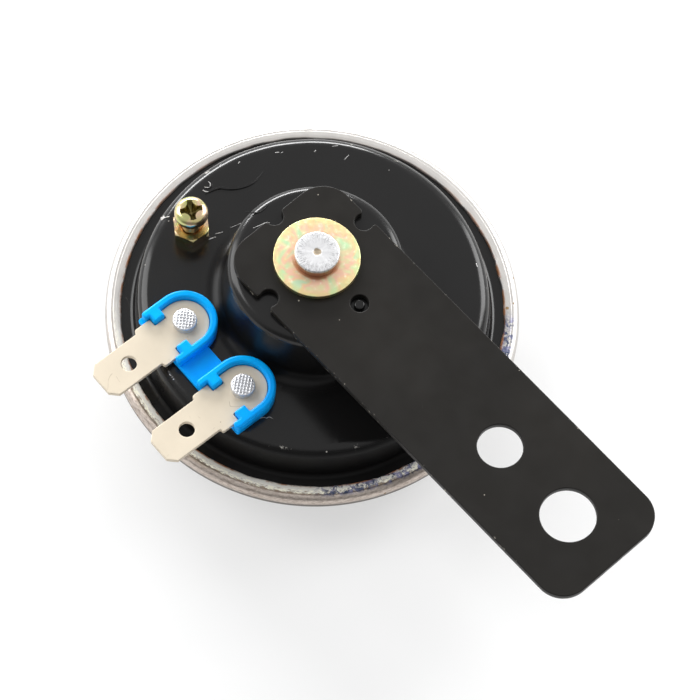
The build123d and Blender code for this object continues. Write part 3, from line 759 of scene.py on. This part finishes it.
class HORN_OT_housing(bpy.types.Operator):
    """Adds the pressed and painted housing shell with its pip"""

    bl_idname = "horn.housing"
    bl_label = "Housing shell"

    def execute(self, context):
        scene = context.scene
        flange, bore = 31.4, 2.6
        wall_slope = (BOSS_FOOT - BOSS_RADIUS) / (BOSS_TOP - PLATEAU)
        profile = rounded([
            (flange, FLANGE_TOP - SHEET),
            (flange, FLANGE_TOP),
            (STEP_FOOT, FLANGE_TOP, 0.8),
            (STEP_TOP, PLATEAU, 1.9),
            *((24.6 - k, PLATEAU) for k in range(8)),       # short faces keep the reflection even
            (BOSS_FOOT, PLATEAU, 1.9),
            (BOSS_RADIUS, BOSS_TOP, 1.7),
            (bore, BOSS_TOP),
            (bore, BOSS_TOP - SHEET),
            (BOSS_RADIUS - SHEET, BOSS_TOP - SHEET, 0.4),
            (BOSS_FOOT + wall_slope - SHEET, PLATEAU - SHEET, 0.4),
            (STEP_TOP - SHEET, PLATEAU - SHEET, 1.0),
            (STEP_FOOT - SHEET, FLANGE_TOP - SHEET),
        ], steps=10)
        shell = turned(profile)
        self.uneven(shell, scene.horn_sizes.ripple / MM)
        wide, root, tip = 0.85, BOSS_TOP - 0.2, BOSS_TOP + 0.9
        pip = turned(rounded([(0, root), (wide, root), (wide, tip, 0.3), (0, tip)]), 32)
        merge(shell, moved(pip, x=INDEX_HOLE))
        wrinkles = [
            ([(-23.91, -1.47), (-23.75, -0.77), (-23.6, -0.06), (-23.21, 1.05), (-22.29, 1.71), (-21.3, 2.92),
              (-20.8, 3.95), (-20.44, 4.89), (-20.26, 6.42), (-20.83, 7.99)], 0.62, 0.22),
            ([(-25.2, 0.5), (-24.5, 0.55), (-24.1, -0.1), (-24.5, -0.75)], 0.34, 0.12),
            ([(-13.6, -2.4), (-12.6, -1.6), (-11.9, -0.4), (-12.2, 1.0)], 0.30, 0.10),
        ]
        for path, width, height in wrinkles:
            merge(shell, bead(path, width, height, PLATEAU if path[0][0] < -14 else BOSS_TOP - 0.01))
        dress(mesh_object("housing_shell", shell), housing_paint(scene.horn_colours), BODY, "housing_paint",
              "housing")
        self.scuffs()
        return {"FINISHED"}

    @staticmethod
    def scuffs():
        """Thin pale scratches where the paint is broken."""
        steep = PLATEAU - 0.55
        scratches = [
            ([(-25.15, -9.2), (-24.8, -8.5), (-24.5, -7.8), (-24.2, -6.9)], 0.17, PLATEAU - 0.12),
            ([(-25.5, -8.75), (-25.1, -8.85), (-24.55, -9.2)], 0.36, steep + 0.1),
            ([(-25.2, -9.5), (-25.05, -8.9), (-24.95, -8.2)], 0.26, steep + 0.1),
            ([(-25.5, -9.3), (-25.05, -8.9), (-24.75, -8.5)], 0.40, steep + 0.1),
            ([(-25.15, 0.35), (-24.7, 0.5), (-24.4, 0.05)], 0.15, PLATEAU + 0.05),
            ([(-17.66, -4.91), (-17.1, -3.74)], 0.10, PLATEAU),
            ([(-16.9, -2.46), (-16.57, -1.29), (-16.31, -0.47)], 0.08, PLATEAU),
            ([(-17.57, -6.24), (-17.45, -5.72), (-17.22, -5.19)], 0.15, PLATEAU),
            ([(-10.81, -3.35), (-10.38, -2.08), (-10.16, -1.05), (-9.73, -0.82)], 0.11, BOSS_TOP),
            ([(-24.64, -1.25), (-23.93, -1.24), (-23.68, -0.42)], 0.22, PLATEAU),
            ([(-24.9, -0.75), (-24.3, -0.45), (-24.3, 0.1)], 0.13, PLATEAU + 0.04),
            ([(10.32, -20.5), (10.51, -19.85), (10.99, -19.76), (10.99, -19.15), (11.67, -19.04)],
             0.10, PLATEAU),
            ([(-4.4, -25.99), (-4.06, -25.98)], 0.18, PLATEAU - 0.1),
            ([(-3.82, -26.09), (-3.73, -25.86)], 0.16, PLATEAU - 0.1),
            ([(-3.38, -25.97), (-3.35, -26.19)], 0.18, PLATEAU - 0.1),
            ([(-22.08, 11.65), (-21.72, 12.17)], 0.16, PLATEAU),
            ([(-21.42, 12.32), (-21.35, 12.68)], 0.14, PLATEAU),
            ([(-18.13, 16.37), (-18.12, 16.78)], 0.16, PLATEAU),
            ([(-16.98, 19.16), (-16.48, 20.0)], 0.16, PLATEAU),
            ([(-24.5, 5.98), (-24.55, 6.46)], 0.14, PLATEAU),
            ([(-13.96, 18.99), (-14.1, 20.18)], 0.10, PLATEAU),
            ([(12.92, 22.42), (13.58, 22.12)], 0.14, PLATEAU),
            ([(-26.15, 3.56), (-26.21, 4.03)], 0.18, PLATEAU - 0.25),
            ([(3.2, -8.13), (3.79, -8.24)], 0.14, BOSS_TOP),
        ]
        bm = bmesh.new()
        for path, width, rest in scratches:
            merge(bm, bead(path, width, 0.05, rest + 0.01))
        dress(mesh_object("paint_scratches", bm), bare_paint(), BODY, "housing_paint")

    @staticmethod
    def uneven(bm, amount):
        """Gives the pressed sheet slow ripples, except at the flange and under the strap."""
        flange = 29.5
        for vert in bm.verts:
            radius = vert.co.xy.length
            if radius > flange or vert.co.z > BOSS_TOP - 0.6:
                continue
            wave = noise.noise(vert.co * 0.09) + 0.35 * noise.noise(vert.co * 0.35)
            vert.co.z += amount * wave
            vert.co.xy *= 1 + 0.6 * amount * wave / max(radius, 1.0)


class HORN_OT_cover(bpy.types.Operator):
    """Adds the front cover with its slots and its rim rolled over the housing"""

    bl_idname = "horn.cover"
    bl_label = "Front cover"

    def execute(self, context):
        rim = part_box("front_cover")[1].x / MM
        sheet = COVER_SHEET
        under, roll, press = 5.7, 1.6, 1.4      # rolled rim's underside and rounding, pressed ring's depth
        outer, inner = 29.8, 28.4               # side wall's radii below the rim and at the front
        far, near = (24.1, 23.2), (11.0, 10.1)  # slopes at both edges of the pressed ring
        side = (outer - inner) / under
        profile = rounded([
            (LIP, RIM_TOP - 0.14, 0.3),
            (30.6, RIM_TOP - 0.05, 0.5),
            (CREASE - 0.15, RIM_TOP - 0.02, 0.15),
            (CREASE, RIM_TOP - 0.16, 0.05),
            (CREASE + 0.15, RIM_TOP - 0.05, 0.3),
            (rim, RIM_TOP - 0.02, roll - 0.35),
            (rim, under, roll),
            (outer, under, 0.5),
            (inner, 0, 1.3),
            (far[0], 0, 0.4),
            (far[1], press, 0.4),
            (near[0], press, 0.4),
            (near[1], 0, 0.4),
            (0, 0),
            (0, sheet),
            (near[1] - sheet / 2, sheet, 0.3),
            (near[0] - sheet / 2, press + sheet, 0.3),
            (far[1] + sheet / 2, press + sheet, 0.3),
            (far[0] + sheet / 2, sheet, 0.3),
            (inner + side * sheet - sheet, sheet, 0.6),
            (outer + side * sheet - sheet, under + sheet, 0.2),
            (rim - sheet, under + sheet, 0.3),
            (rim - sheet, FLANGE_TOP, 0.3),
            (LIP, FLANGE_TOP),
        ], steps=8)
        cover = turned(profile)
        self.wavy_lip(cover)
        piece = mesh_object("rolled_cover", cover)
        cut(piece, self.slots())
        dress(piece, cover_zinc(context.scene.horn_colours), BODY, "cover_zinc", "front_cover")
        return {"FINISHED"}

    @staticmethod
    def wavy_lip(bm):
        """Makes the rolled edge a little uneven, as the rolling tool leaves it."""
        for vert in bm.verts:
            radius = vert.co.xy.length
            if radius < 29.9 or vert.co.z < 7.5:
                continue
            around = vert.co.xy.normalized() * 9.0
            wave = noise.noise(Vector((around.x, around.y, 3.0)))
            crimp = noise.noise(Vector((around.x * 5, around.y * 5, 3.0)))
            inner = max(0.0, min(1.0, (31.1 - radius) / 1.0))
            vert.co.xy *= 1 + (0.16 * wave + 0.06 * crimp) * inner / radius
            if vert.co.z > RIM_TOP - 0.4:
                vert.co.z -= 0.04 * (1 + noise.noise(Vector((around.x * 2, around.y * 2, 8.0))))

    @staticmethod
    def slots():
        """Cutter for the ring of radial slots."""
        count, half, inner, outer = 16, 1.2, 13.4, 21.6
        outline = arc((outer - half, 0), half, -90, 90, 12) + arc((inner + half, 0), half, 90, 270, 12)
        cutter = bmesh.new()
        for index in range(count):
            merge(cutter, plate([turn_outline(outline, 2 * pi * index / count)], -1.0, 4.0, 0.001))
        return cutter


# ---------------------------------------------------------------- strap, washer and rivet

def notch(edge, place, radius, lip, angle):
    """Round notch open at the edge, its mouth's corners rounded, then turned about the origin."""
    drop = edge - lip - place
    side = sqrt((radius + lip) ** 2 - drop ** 2)
    lean = atan2(drop, side) * 180 / pi
    points = arc((side, edge - lip), lip, 90, 180 + lean, 6)
    points += arc((0, place), radius, lean, -180 - lean, 24)[1:-1]
    points += arc((-side, edge - lip), lip, -lean, 90, 6)
    return turn_outline(points, angle)


class HORN_OT_strap(bpy.types.Operator):
    """Adds the mounting strap, the washer on it and the rivet through them"""

    bl_idname = "horn.strap"
    bl_label = "Strap, washer and rivet"

    def execute(self, context):
        scene = context.scene
        self.strap(scene)
        self.washer(scene)
        self.rivet()
        return {"FINISHED"}

    @staticmethod
    def strap(scene):
        """Flat strap with its holes and the index notches at its head."""
        first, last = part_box("mounting_bracket")
        half = last.y / MM
        tail = first.x / MM
        reach = last.x / MM
        place, index, lip = INDEX_HOLE, 1.45, 0.5       # index hole and notches, and the notches' mouths
        end_corner, head_corner = 4.5, 5.0
        outline = rounded(
            [(reach, -half, end_corner), (reach, half, end_corner)]
            + notch(half, place, index, lip, 0)
            + [(tail, half, head_corner)]
            + notch(-tail, place, index, lip, pi / 2)
            + [(tail, -half, head_corner)]
            + notch(half, place, index, lip, pi), steps=16)
        holes = [circle((x, 0), radius, steps)
                 for x, radius, steps in ((41.0, 3.5, 96), (55.8, 4.3, 96), (place, index, 48), (0, 2.6, 48))]
        edge = scene.horn_sizes.edge / MM
        piece = mesh_object("strap", plate([outline] + holes, BOSS_TOP, STRAP_TOP, edge))
        dress(piece, strap_paint(scene.horn_colours), BODY, "strap_paint", "mounting_bracket", sharp=40)

    @staticmethod
    def washer(scene):
        """Plain washer, slightly dished by the rivet."""
        outer, bore = 6.67, 2.6
        profile = rounded([(outer, STRAP_TOP, 0.12), (outer, WASHER_TOP - 0.05, 0.10),
                           (5.0, WASHER_TOP - 0.02, 2.0), (3.4, WASHER_TOP), (bore, WASHER_TOP),
                           (bore, STRAP_TOP)], steps=6)
        dress(mesh_object("washer", turned(profile, 128)), washer_zinc(scene.horn_colours), BODY,
              "washer_yellow_zinc", "bracket_washer")

    @staticmethod
    def rivet():
        """Head with a dimple above the washer, shank and the coil's core below the boss."""
        inside = BOSS_TOP - SHEET
        core, shank, head = 4.6, 2.5, 3.5
        profile = rounded([
            (0, CORE_BOTTOM), (core, CORE_BOTTOM, 0.2), (core, inside, 0.1), (shank, inside),
            (shank, WASHER_TOP), (head - 0.1, WASHER_TOP), (head, CORE_TOP - 0.02, 0.28),
            (2.4, CORE_TOP, 1.0), (0.75, CORE_TOP - 0.04, 0.3), (0.35, CORE_TOP - 0.12, 0.2),
            (0, CORE_TOP - 0.13)], steps=6)
        bm = turned(profile, 128)
        for vert in bm.verts:
            if vert.co.z > WASHER_TOP + 0.5:
                around = Vector((vert.co.x, vert.co.y, 0)) * 1.4
                vert.co.z += 0.03 * noise.noise(around)
                vert.co.xy *= 1 + 0.012 * noise.noise(around + Vector((5, 5, 5)))
        dress(mesh_object("pole_rivet", bm), rivet_steel(), BODY, "rivet_steel", "pole_core")


# ---------------------------------------------------------------- terminals and insulator

class HORN_OT_terminals(bpy.types.Operator):
    """Adds both blade terminals, their rivets and the moulded insulator"""

    bl_idname = "horn.terminals"
    bl_label = "Terminals and insulator"

    def execute(self, context):
        scene = context.scene
        spacing = (RIVET_B - RIVET_A).length
        first = Matrix.Rotation(-PAIR_TURN, 2) @ RIVET_A
        centres = [first.x, first.x + spacing]
        plating = tab_plating(scene.horn_colours)
        aluminium = bare_metal("rivet_aluminium", (0.80, 0.81, 0.83), (0.68, 0.69, 0.72), 0.34)
        for letter, x in zip("ab", centres):
            self.terminal(letter, x, first.y, scene, plating)
            self.rivet(letter, (RIVET_A, RIVET_B)[letter == "b"], scene, aluminium)
        self.insulator(centres, first.y, scene)
        return {"FINISHED"}

    @staticmethod
    def terminal(letter, x, y, scene, finish):
        """Blade with a rounded riveted end, two notches and a detent hole."""
        half, neck, blade = 3.8, 2.45, 3.15
        shoulder, tip = y - 6.95, y - 16.5
        upper, lower = y - 1.7, y - 3.9
        bevel = 1.25
        tight, corner = 0.15, 0.3
        side = [(x - half, upper, tight), (x - neck, upper, tight), (x - neck, lower, tight),
                (x - half, lower, tight), (x - half, shoulder, 0.35), (x - blade, shoulder, 0.25),
                (x - blade, tip + bevel, corner), (x - blade + bevel, tip, corner)]
        outline = rounded(arc((x, y), half, 0, 180, 32) + side + other_half(side, x), steps=4)
        detent = circle((x, y - 11.0), 1.25, 48)
        outlines = [turn_outline(points, PAIR_TURN) for points in (outline, detent)]
        bm = plate(outlines, TAB_BOTTOM, TAB_TOP, scene.horn_sizes.tab_edge / MM)
        dress(mesh_object("blade_" + letter, bm), finish, BODY, "terminal_nickel", "terminal_" + letter,
              sharp=40)

    @staticmethod
    def rivet(letter, centre, scene, finish):
        """Rivet whose head carries a pressed lattice."""
        node = "terminal_rivet_" + letter
        bottom = low(node)
        top = high(node)
        radius, shank, tail = 1.85, 1.25, 2.1
        flat = top - 0.28
        tall = scene.horn_sizes.waffle / MM
        rings = [(radius * k / 40, flat) for k in range(40)]
        profile = rings + rounded([(0, flat), (radius, flat, 0.16), (radius, TAB_TOP), (shank, TAB_TOP),
                                   (shank, bottom + 0.7), (tail, bottom + 0.7, 0.15), (tail, bottom, 0.15),
                                   (0, bottom)], steps=5)[1:]
        bm = turned(profile, 2 * SMALL_TURNS)
        for vert in bm.verts:
            reach = vert.co.xy.length
            if vert.co.z < top - 0.5 or reach > radius - 0.05:
                continue
            turned_place = Matrix.Rotation(radians(-42 if letter == "a" else -38), 2) @ Vector(vert.co[:2])
            ridge = max(abs((c / 0.50 + 0.5) % 1.0 - 0.5) for c in turned_place) * 2
            fade = max(0.0, min(1.0, (radius - 0.05 - reach) / 0.35))
            dome = 0.10 * (1 - (reach / radius) ** 2)
            vert.co.z += dome + fade * tall * max(0.0, min(1.0, (ridge - 0.55) / 0.3))
        bmesh.ops.translate(bm, verts=bm.verts, vec=(centre.x, centre.y, 0))
        dress(mesh_object("lattice_rivet_" + letter, bm), finish, BODY, "rivet_aluminium", node, sharp=60)

    @staticmethod
    def insulator(centres, y, scene):
        """Floor and web under both terminals, a U-shaped wall with lugs round each, bushes below."""
        outer, inner, lug = 5.1, 3.9, 2.55
        end, web, top = y - 5.15, y + 0.5, high("terminal_insulator")
        lug_high, lug_low = y - 1.8, y - 3.8
        corner, tight = 0.3, 0.1
        edge = scene.horn_sizes.insulator_edge / MM
        first, second = centres
        lift = asin((web - y) / outer) * 180 / pi
        floor = rounded([(first - outer, end, corner), (second + outer, end, corner)]
                        + arc((second, y), outer, 0, 180 - lift, 32)
                        + arc((first, y), outer, lift, 180, 32), 5)
        shapes = [plate([turn_outline(floor, PAIR_TURN)], PLATEAU, TAB_BOTTOM, 0.1)]
        for x in centres:
            left_end = end + (0.55 if x == first else 0.0)
            lugs = [(x - inner, lug_low, tight), (x - lug, lug_low, corner), (x - lug, lug_high, corner),
                    (x - inner, lug_high, tight)]
            wall = rounded(
                [(x + inner, end, 0.35), (x + outer, end, 0.45)] + arc((x, y), outer, 0, 180, 40)
                + [(x - outer, left_end, 0.45), (x - inner, left_end, 0.35)] + lugs
                + arc((x, y), inner, 180, 0, 40) + other_half(lugs, x), steps=5)
            shapes.append(plate([turn_outline(wall, PAIR_TURN)], PLATEAU + 0.2, top, edge))
            for centre in turn_outline([(x, y)], PAIR_TURN):
                bush = [circle(centre, 2.0), circle(centre, 1.35)]
                shapes.append(plate(bush, PLATEAU - SHEET, PLATEAU + 0.3, 0.01))
        bm = merge(*shapes)
        dress(mesh_object("insulator", bm), insulator_plastic(scene.horn_colours), BODY, "insulator_blue",
              "terminal_insulator", sharp=50)


# ---------------------------------------------------------------- adjusting screw

class HORN_OT_screw(bpy.types.Operator):
    """Adds the adjusting screw with its thread and cross recess, and its lock nut"""

    bl_idname = "horn.screw"
    bl_label = "Adjusting screw and nut"

    def execute(self, context):
        scene = context.scene
        finish = screw_zinc(scene.horn_colours)
        self.screw(scene, finish)
        self.nut(finish)
        return {"FINISHED"}

    @staticmethod
    def screw(scene, finish):
        """Pan head over a threaded shank."""
        bottom = low("adjusting_screw")
        top = high("adjusting_screw")
        under = top - SCREW_HEAD
        depth = scene.horn_sizes.thread_depth / MM
        pitch = 0.5
        steps = 8
        count = int((under - bottom) / pitch * steps)
        radius = 1.5
        shank = [(radius, bottom + (under - bottom) * k / count) for k in range(count + 1)]
        head = 2.64
        profile = [(0, bottom)] + shank + rounded(
            [(head - 0.19, under, 0.1), (head, under + 0.2, 0.2), (head, top - 0.12, 1.15), (1.2, top, 1.0),
             (0, top)], 8)
        bm = turned(profile, 64)
        for vert in bm.verts:
            reach = vert.co.xy.length
            if abs(reach - radius) > 1e-4 or vert.co.z > under - 0.02:
                continue
            phase = (vert.co.z / pitch - atan2(vert.co.y, vert.co.x) / (2 * pi)) % 1.0
            vert.co.xy *= 1 - depth * abs(2 * phase - 1) / reach
        piece = mesh_object("tuning_screw_piece", moved(bm, SCREW.x, SCREW.y))
        cut(piece, HORN_OT_screw.recess(top))
        dress(piece, finish, SCREW_BODY, "screw_yellow_zinc", "adjusting_screw", sharp=50)

    @staticmethod
    def recess(top):
        """Tapering cross whose arms run out between four rounded lobes."""
        quarter = [(1.78, -0.34), (1.86, 0.0), (1.78, 0.34)] + arc((1.40, 1.40), 0.98, -68, -202, 8)
        outline = []
        for index in range(4):
            outline += turn_outline(quarter, index * pi / 2 + radians(-30))
        bm = bmesh.new()
        layers = []
        for height, size in ((top + 0.3, 1.08), (top - 0.25, 0.94), (top - 0.9, 0.60), (top - 1.35, 0.16)):
            layers.append([bm.verts.new((x * size + SCREW.x, y * size + SCREW.y, height))
                           for x, y in outline])
        for first, second in zip(layers, layers[1:]):
            for k in range(len(first)):
                j = (k + 1) % len(first)
                bm.faces.new((first[k], first[j], second[j], second[k]))
        bm.faces.new(layers[0])
        bm.faces.new(reversed(layers[-1]))
        bmesh.ops.recalc_face_normals(bm, faces=bm.faces)
        return bm

    @staticmethod
    def nut(finish):
        """Hexagon with turned corners and a plain bore with a chamfered mouth."""
        flats = 5.3
        turn = radians(-35.5)
        corner = flats / sqrt(3)
        segments = 144
        bore, bevel, steps = 1.55, 0.25, 20
        mouth = bore + bevel
        rings = [(bore, PLATEAU), (bore, NUT_TOP - bevel), (mouth, NUT_TOP)]
        rings += [(mouth + (corner - mouth) * k / steps, NUT_TOP) for k in range(1, steps + 1)]
        rings += [(corner, PLATEAU)]
        bm = turned(rings, segments)
        for vert in bm.verts:
            reach = vert.co.xy.length
            around = (atan2(vert.co.y, vert.co.x) - turn) % (pi / 3) - pi / 6
            limit = flats / 2 / cos(around)
            drop = 0.0
            if reach > bore + 0.3:
                reach_now = mouth + (reach - mouth) * (limit - mouth) / (corner - mouth)
                vert.co.xy *= reach_now / reach
                drop = max(0.0, (reach_now - (corner - 0.30)) * 0.7)
            if vert.co.z > NUT_TOP - 0.1:
                vert.co.z -= drop
        dress(mesh_object("lock_nut", moved(bm, SCREW.x, SCREW.y)), finish, BODY, "screw_yellow_zinc",
              "adjusting_nut", sharp=28)


# ---------------------------------------------------------------- inner pieces

class HORN_OT_inner(bpy.types.Operator):
    """Gives the inner pieces of the frame their finishes"""

    bl_idname = "horn.inner"
    bl_label = "Inner pieces"

    def execute(self, context):
        plated = bare_metal("inner_zinc", (0.68, 0.68, 0.67), (0.55, 0.55, 0.54), 0.30)
        iron = bare_metal("soft_iron", (0.52, 0.52, 0.52), (0.38, 0.37, 0.36), 0.32)
        spring = bare_metal("spring_steel", (0.58, 0.58, 0.60), (0.47, 0.47, 0.48), 0.22)
        brass = bare_metal("contact_brass", (0.78, 0.60, 0.28), (0.66, 0.48, 0.20), 0.26)
        bronze = bare_metal("contact_bronze", (0.74, 0.47, 0.26), (0.60, 0.36, 0.18), 0.26)
        silver = bare_metal("contact_metal", (0.66, 0.66, 0.68), (0.50, 0.50, 0.52), 0.24)
        fibre = board("gasket_fibre", (0.22, 0.17, 0.12), (0.13, 0.10, 0.07), 0.7)
        phenolic = board("phenolic", (0.24, 0.10, 0.04), (0.15, 0.06, 0.025), 0.4)
        bobbin = board("bobbin_plastic", (0.80, 0.77, 0.69), (0.70, 0.67, 0.58), 0.45)
        finishes = {
            plated: ("diaphragm_washer", "tone_disc_spacer", "tone_disc", "tone_disc_washer"),
            iron: ("armature",),
            brass: ("coil_tag", "contact_plate"),
            bronze: ("contact_arm",),
            silver: ("fixed_contact", "moving_contact"),
            fibre: ("front_gasket", "rear_gasket"),
            phenolic: ("inner_insulator", "arm_pad", "contact_spacer", "contact_washer"),
            bobbin: ("coil_bobbin",),
            copper_wire(): ("coil_winding",),
        }
        for finish, nodes in finishes.items():
            for node in nodes:
                paint_node(node, finish)
        self.diaphragm(spring)
        return {"FINISHED"}

    @staticmethod
    def diaphragm(finish):
        """Dished spring sheet from its clamped edge to its middle, shown in place of the frame's diaphragm.
        """
        first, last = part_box("diaphragm")
        bottom, top, outer = first.z / MM, last.z / MM, last.x / MM
        sheet, hole = 0.4, 2.1
        foot, inner, steps = 26.0, 12.0, 14     # radii of the slope's ends, and its rings
        slope = [(foot + (inner - foot) * k / steps, (top - bottom - sheet) * k / steps)
                 for k in range(steps + 1)]
        profile = ([(outer, bottom + sheet), (outer, bottom)]
                   + [(radius, bottom + height) for radius, height in slope]
                   + [(hole, top - sheet), (hole, top)]
                   + [(radius, bottom + sheet + height) for radius, height in reversed(slope)])
        sheet_piece = mesh_object("diaphragm_sheet", turned(profile))
        smooth(sheet_piece, finish)
        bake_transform(sheet_piece)
        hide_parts("diaphragm")


# ---------------------------------------------------------------- stage

LAMP_DISTANCE = 1.2     # in metres
# name, azimuth from the camera and elevation in degrees, size in metres
LAMPS = (("back_lamp", 106, 19, (1.00, 0.25)), ("left_lamp", 160, 32, (0.68, 1.12)),
         ("right_lamp", 40, 30, (0.60, 0.84)))


class HORN_OT_stage(bpy.types.Operator):
    """Adds the floor, the studio light and the camera"""

    bl_idname = "horn.stage"
    bl_label = "Stage"

    def execute(self, context):
        settings = context.scene.horn_stage
        self.floor()
        self.dome(settings)
        for name, azimuth, elevation, size in LAMPS:
            self.lamp(name, getattr(settings, name), size, settings.azimuth + radians(azimuth),
                      radians(elevation))
        self.camera(settings)
        return {"FINISHED"}

    @staticmethod
    def seen(path):
        """1 for rays that come from the camera straight, mirrored or refracted."""
        return calc("ADD", add(path["Is Camera Ray"], path["Is Glossy Ray"]), path["Is Transmission Ray"],
                    clamp=True)

    @staticmethod
    def floor():
        """White table that keeps the object's shadow."""
        bm = bmesh.new()
        bmesh.ops.create_grid(bm, x_segments=1, y_segments=1, size=2500)
        table = mesh_object("table", bm)
        material = bpy.data.materials.new("white_table")
        tree = empty_tree(material)
        surface = put(tree, "ShaderNodeBsdfDiffuse", {"Color": (0.90, 0.90, 0.90, 1.0)})
        glow = put(tree, "ShaderNodeEmission", {"Color": (1.0, 1.0, 1.0, 1.0), "Strength": 1.0})
        seen = HORN_OT_stage.seen(put(tree, "ShaderNodeLightPath").outputs)
        share = times(seen, 0.50)
        mix = put(tree, "ShaderNodeMixShader", {0: share, 1: surface.outputs[0], 2: glow.outputs[0]})
        put(tree, "ShaderNodeOutputMaterial", {0: mix.outputs[0]})
        table.data.materials.append(material)

    @staticmethod
    def dome(settings):
        """Even light from all round, white where it is mirrored, but darker on the camera's side."""
        world = bpy.data.worlds.new("studio")
        bpy.context.scene.world = world
        tree = empty_tree(world)
        path = put(tree, "ShaderNodeLightPath").outputs
        seen = HORN_OT_stage.seen(path)
        way = put(tree, "ShaderNodeTexCoord").outputs["Generated"]
        camera_side = (sin(settings.azimuth), -cos(settings.azimuth), 0.0)
        toward = put(tree, "ShaderNodeVectorMath", {0: way, 1: camera_side},
                     operation="DOT_PRODUCT").outputs["Value"]
        mirrored = add(times(rise(toward, 0.80, 0.45), settings.sky - settings.front), settings.front)
        strength = add(times(seen, less(mirrored, settings.dome)), settings.dome)
        strength = larger(strength, path["Is Camera Ray"])
        sky = put(tree, "ShaderNodeBackground", {"Color": (1.0, 1.0, 1.0, 1.0), "Strength": strength})
        put(tree, "ShaderNodeOutputWorld", {0: sky.outputs[0]})

    @staticmethod
    def lamp(name, power, size, azimuth, elevation):
        """Soft rectangular lamp that faces the horn."""
        light = bpy.data.lights.new(name, "AREA")
        light.shape = "RECTANGLE"
        light.size, light.size_y = size
        light.energy = power
        toward = Vector((cos(azimuth) * cos(elevation), sin(azimuth) * cos(elevation), sin(elevation)))
        turn = toward.to_track_quat("Z", "Y").to_matrix().to_4x4()
        in_scene(name, light).matrix_world = Matrix.Translation(toward * LAMP_DISTANCE) @ turn

    @staticmethod
    def camera(settings):
        """Long lens over the horn's back."""
        data = bpy.data.cameras.new("camera")
        data.lens = settings.lens
        data.sensor_width = 36.0
        data.clip_start = 0.01
        camera = in_scene("camera", data)
        turn = (Matrix.Rotation(settings.azimuth, 4, "Z")
                @ Matrix.Rotation(pi / 2 - settings.elevation, 4, "X")
                @ Matrix.Rotation(settings.roll, 4, "Z"))
        camera.matrix_world = (Matrix.Translation((0, 0, 7.5 * MM)) @ turn
                               @ Matrix.Translation((settings.aim[0], settings.aim[1], settings.distance)))
        bpy.context.scene.camera = camera


class HORN_PT_panel(bpy.types.Panel):
    """Lists the horn's settings and its build steps"""

    bl_label = "Disc horn"
    bl_space_type = "VIEW_3D"
    bl_region_type = "UI"
    bl_category = "Disc horn"

    def draw(self, context):
        scene = context.scene
        for group in (scene.horn_sizes, scene.horn_colours, scene.horn_stage):
            box = self.layout.box()
            for key in group.__annotations__:
                box.prop(group, key)
        for step in STEPS:
            self.layout.operator(step.bl_idname)


STEPS = (HORN_OT_housing, HORN_OT_cover, HORN_OT_strap, HORN_OT_terminals, HORN_OT_screw, HORN_OT_inner,
         HORN_OT_stage)
CLASSES = (HornSizes, HornColours, StageSettings) + STEPS + (HORN_PT_panel,)


def register():
    """Registers the classes and the scene's settings."""
    for item in CLASSES:
        bpy.utils.register_class(item)
    bpy.types.Scene.horn_sizes = bpy.props.PointerProperty(type=HornSizes)
    bpy.types.Scene.horn_colours = bpy.props.PointerProperty(type=HornColours)
    bpy.types.Scene.horn_stage = bpy.props.PointerProperty(type=StageSettings)


def unregister():
    """Takes the settings and the classes out again."""
    del bpy.types.Scene.horn_stage
    del bpy.types.Scene.horn_colours
    del bpy.types.Scene.horn_sizes
    for item in reversed(CLASSES):
        bpy.utils.unregister_class(item)


def main():
    """Builds the horn and its stage."""
    register()
    bpy.context.scene.view_settings.view_transform = "Standard"
    bpy.ops.horn.housing()
    bpy.ops.horn.cover()
    bpy.ops.horn.strap()
    bpy.ops.horn.terminals()
    bpy.ops.horn.screw()
    bpy.ops.horn.inner()
    bpy.ops.horn.stage()


if __name__ == "__main__":
    main()
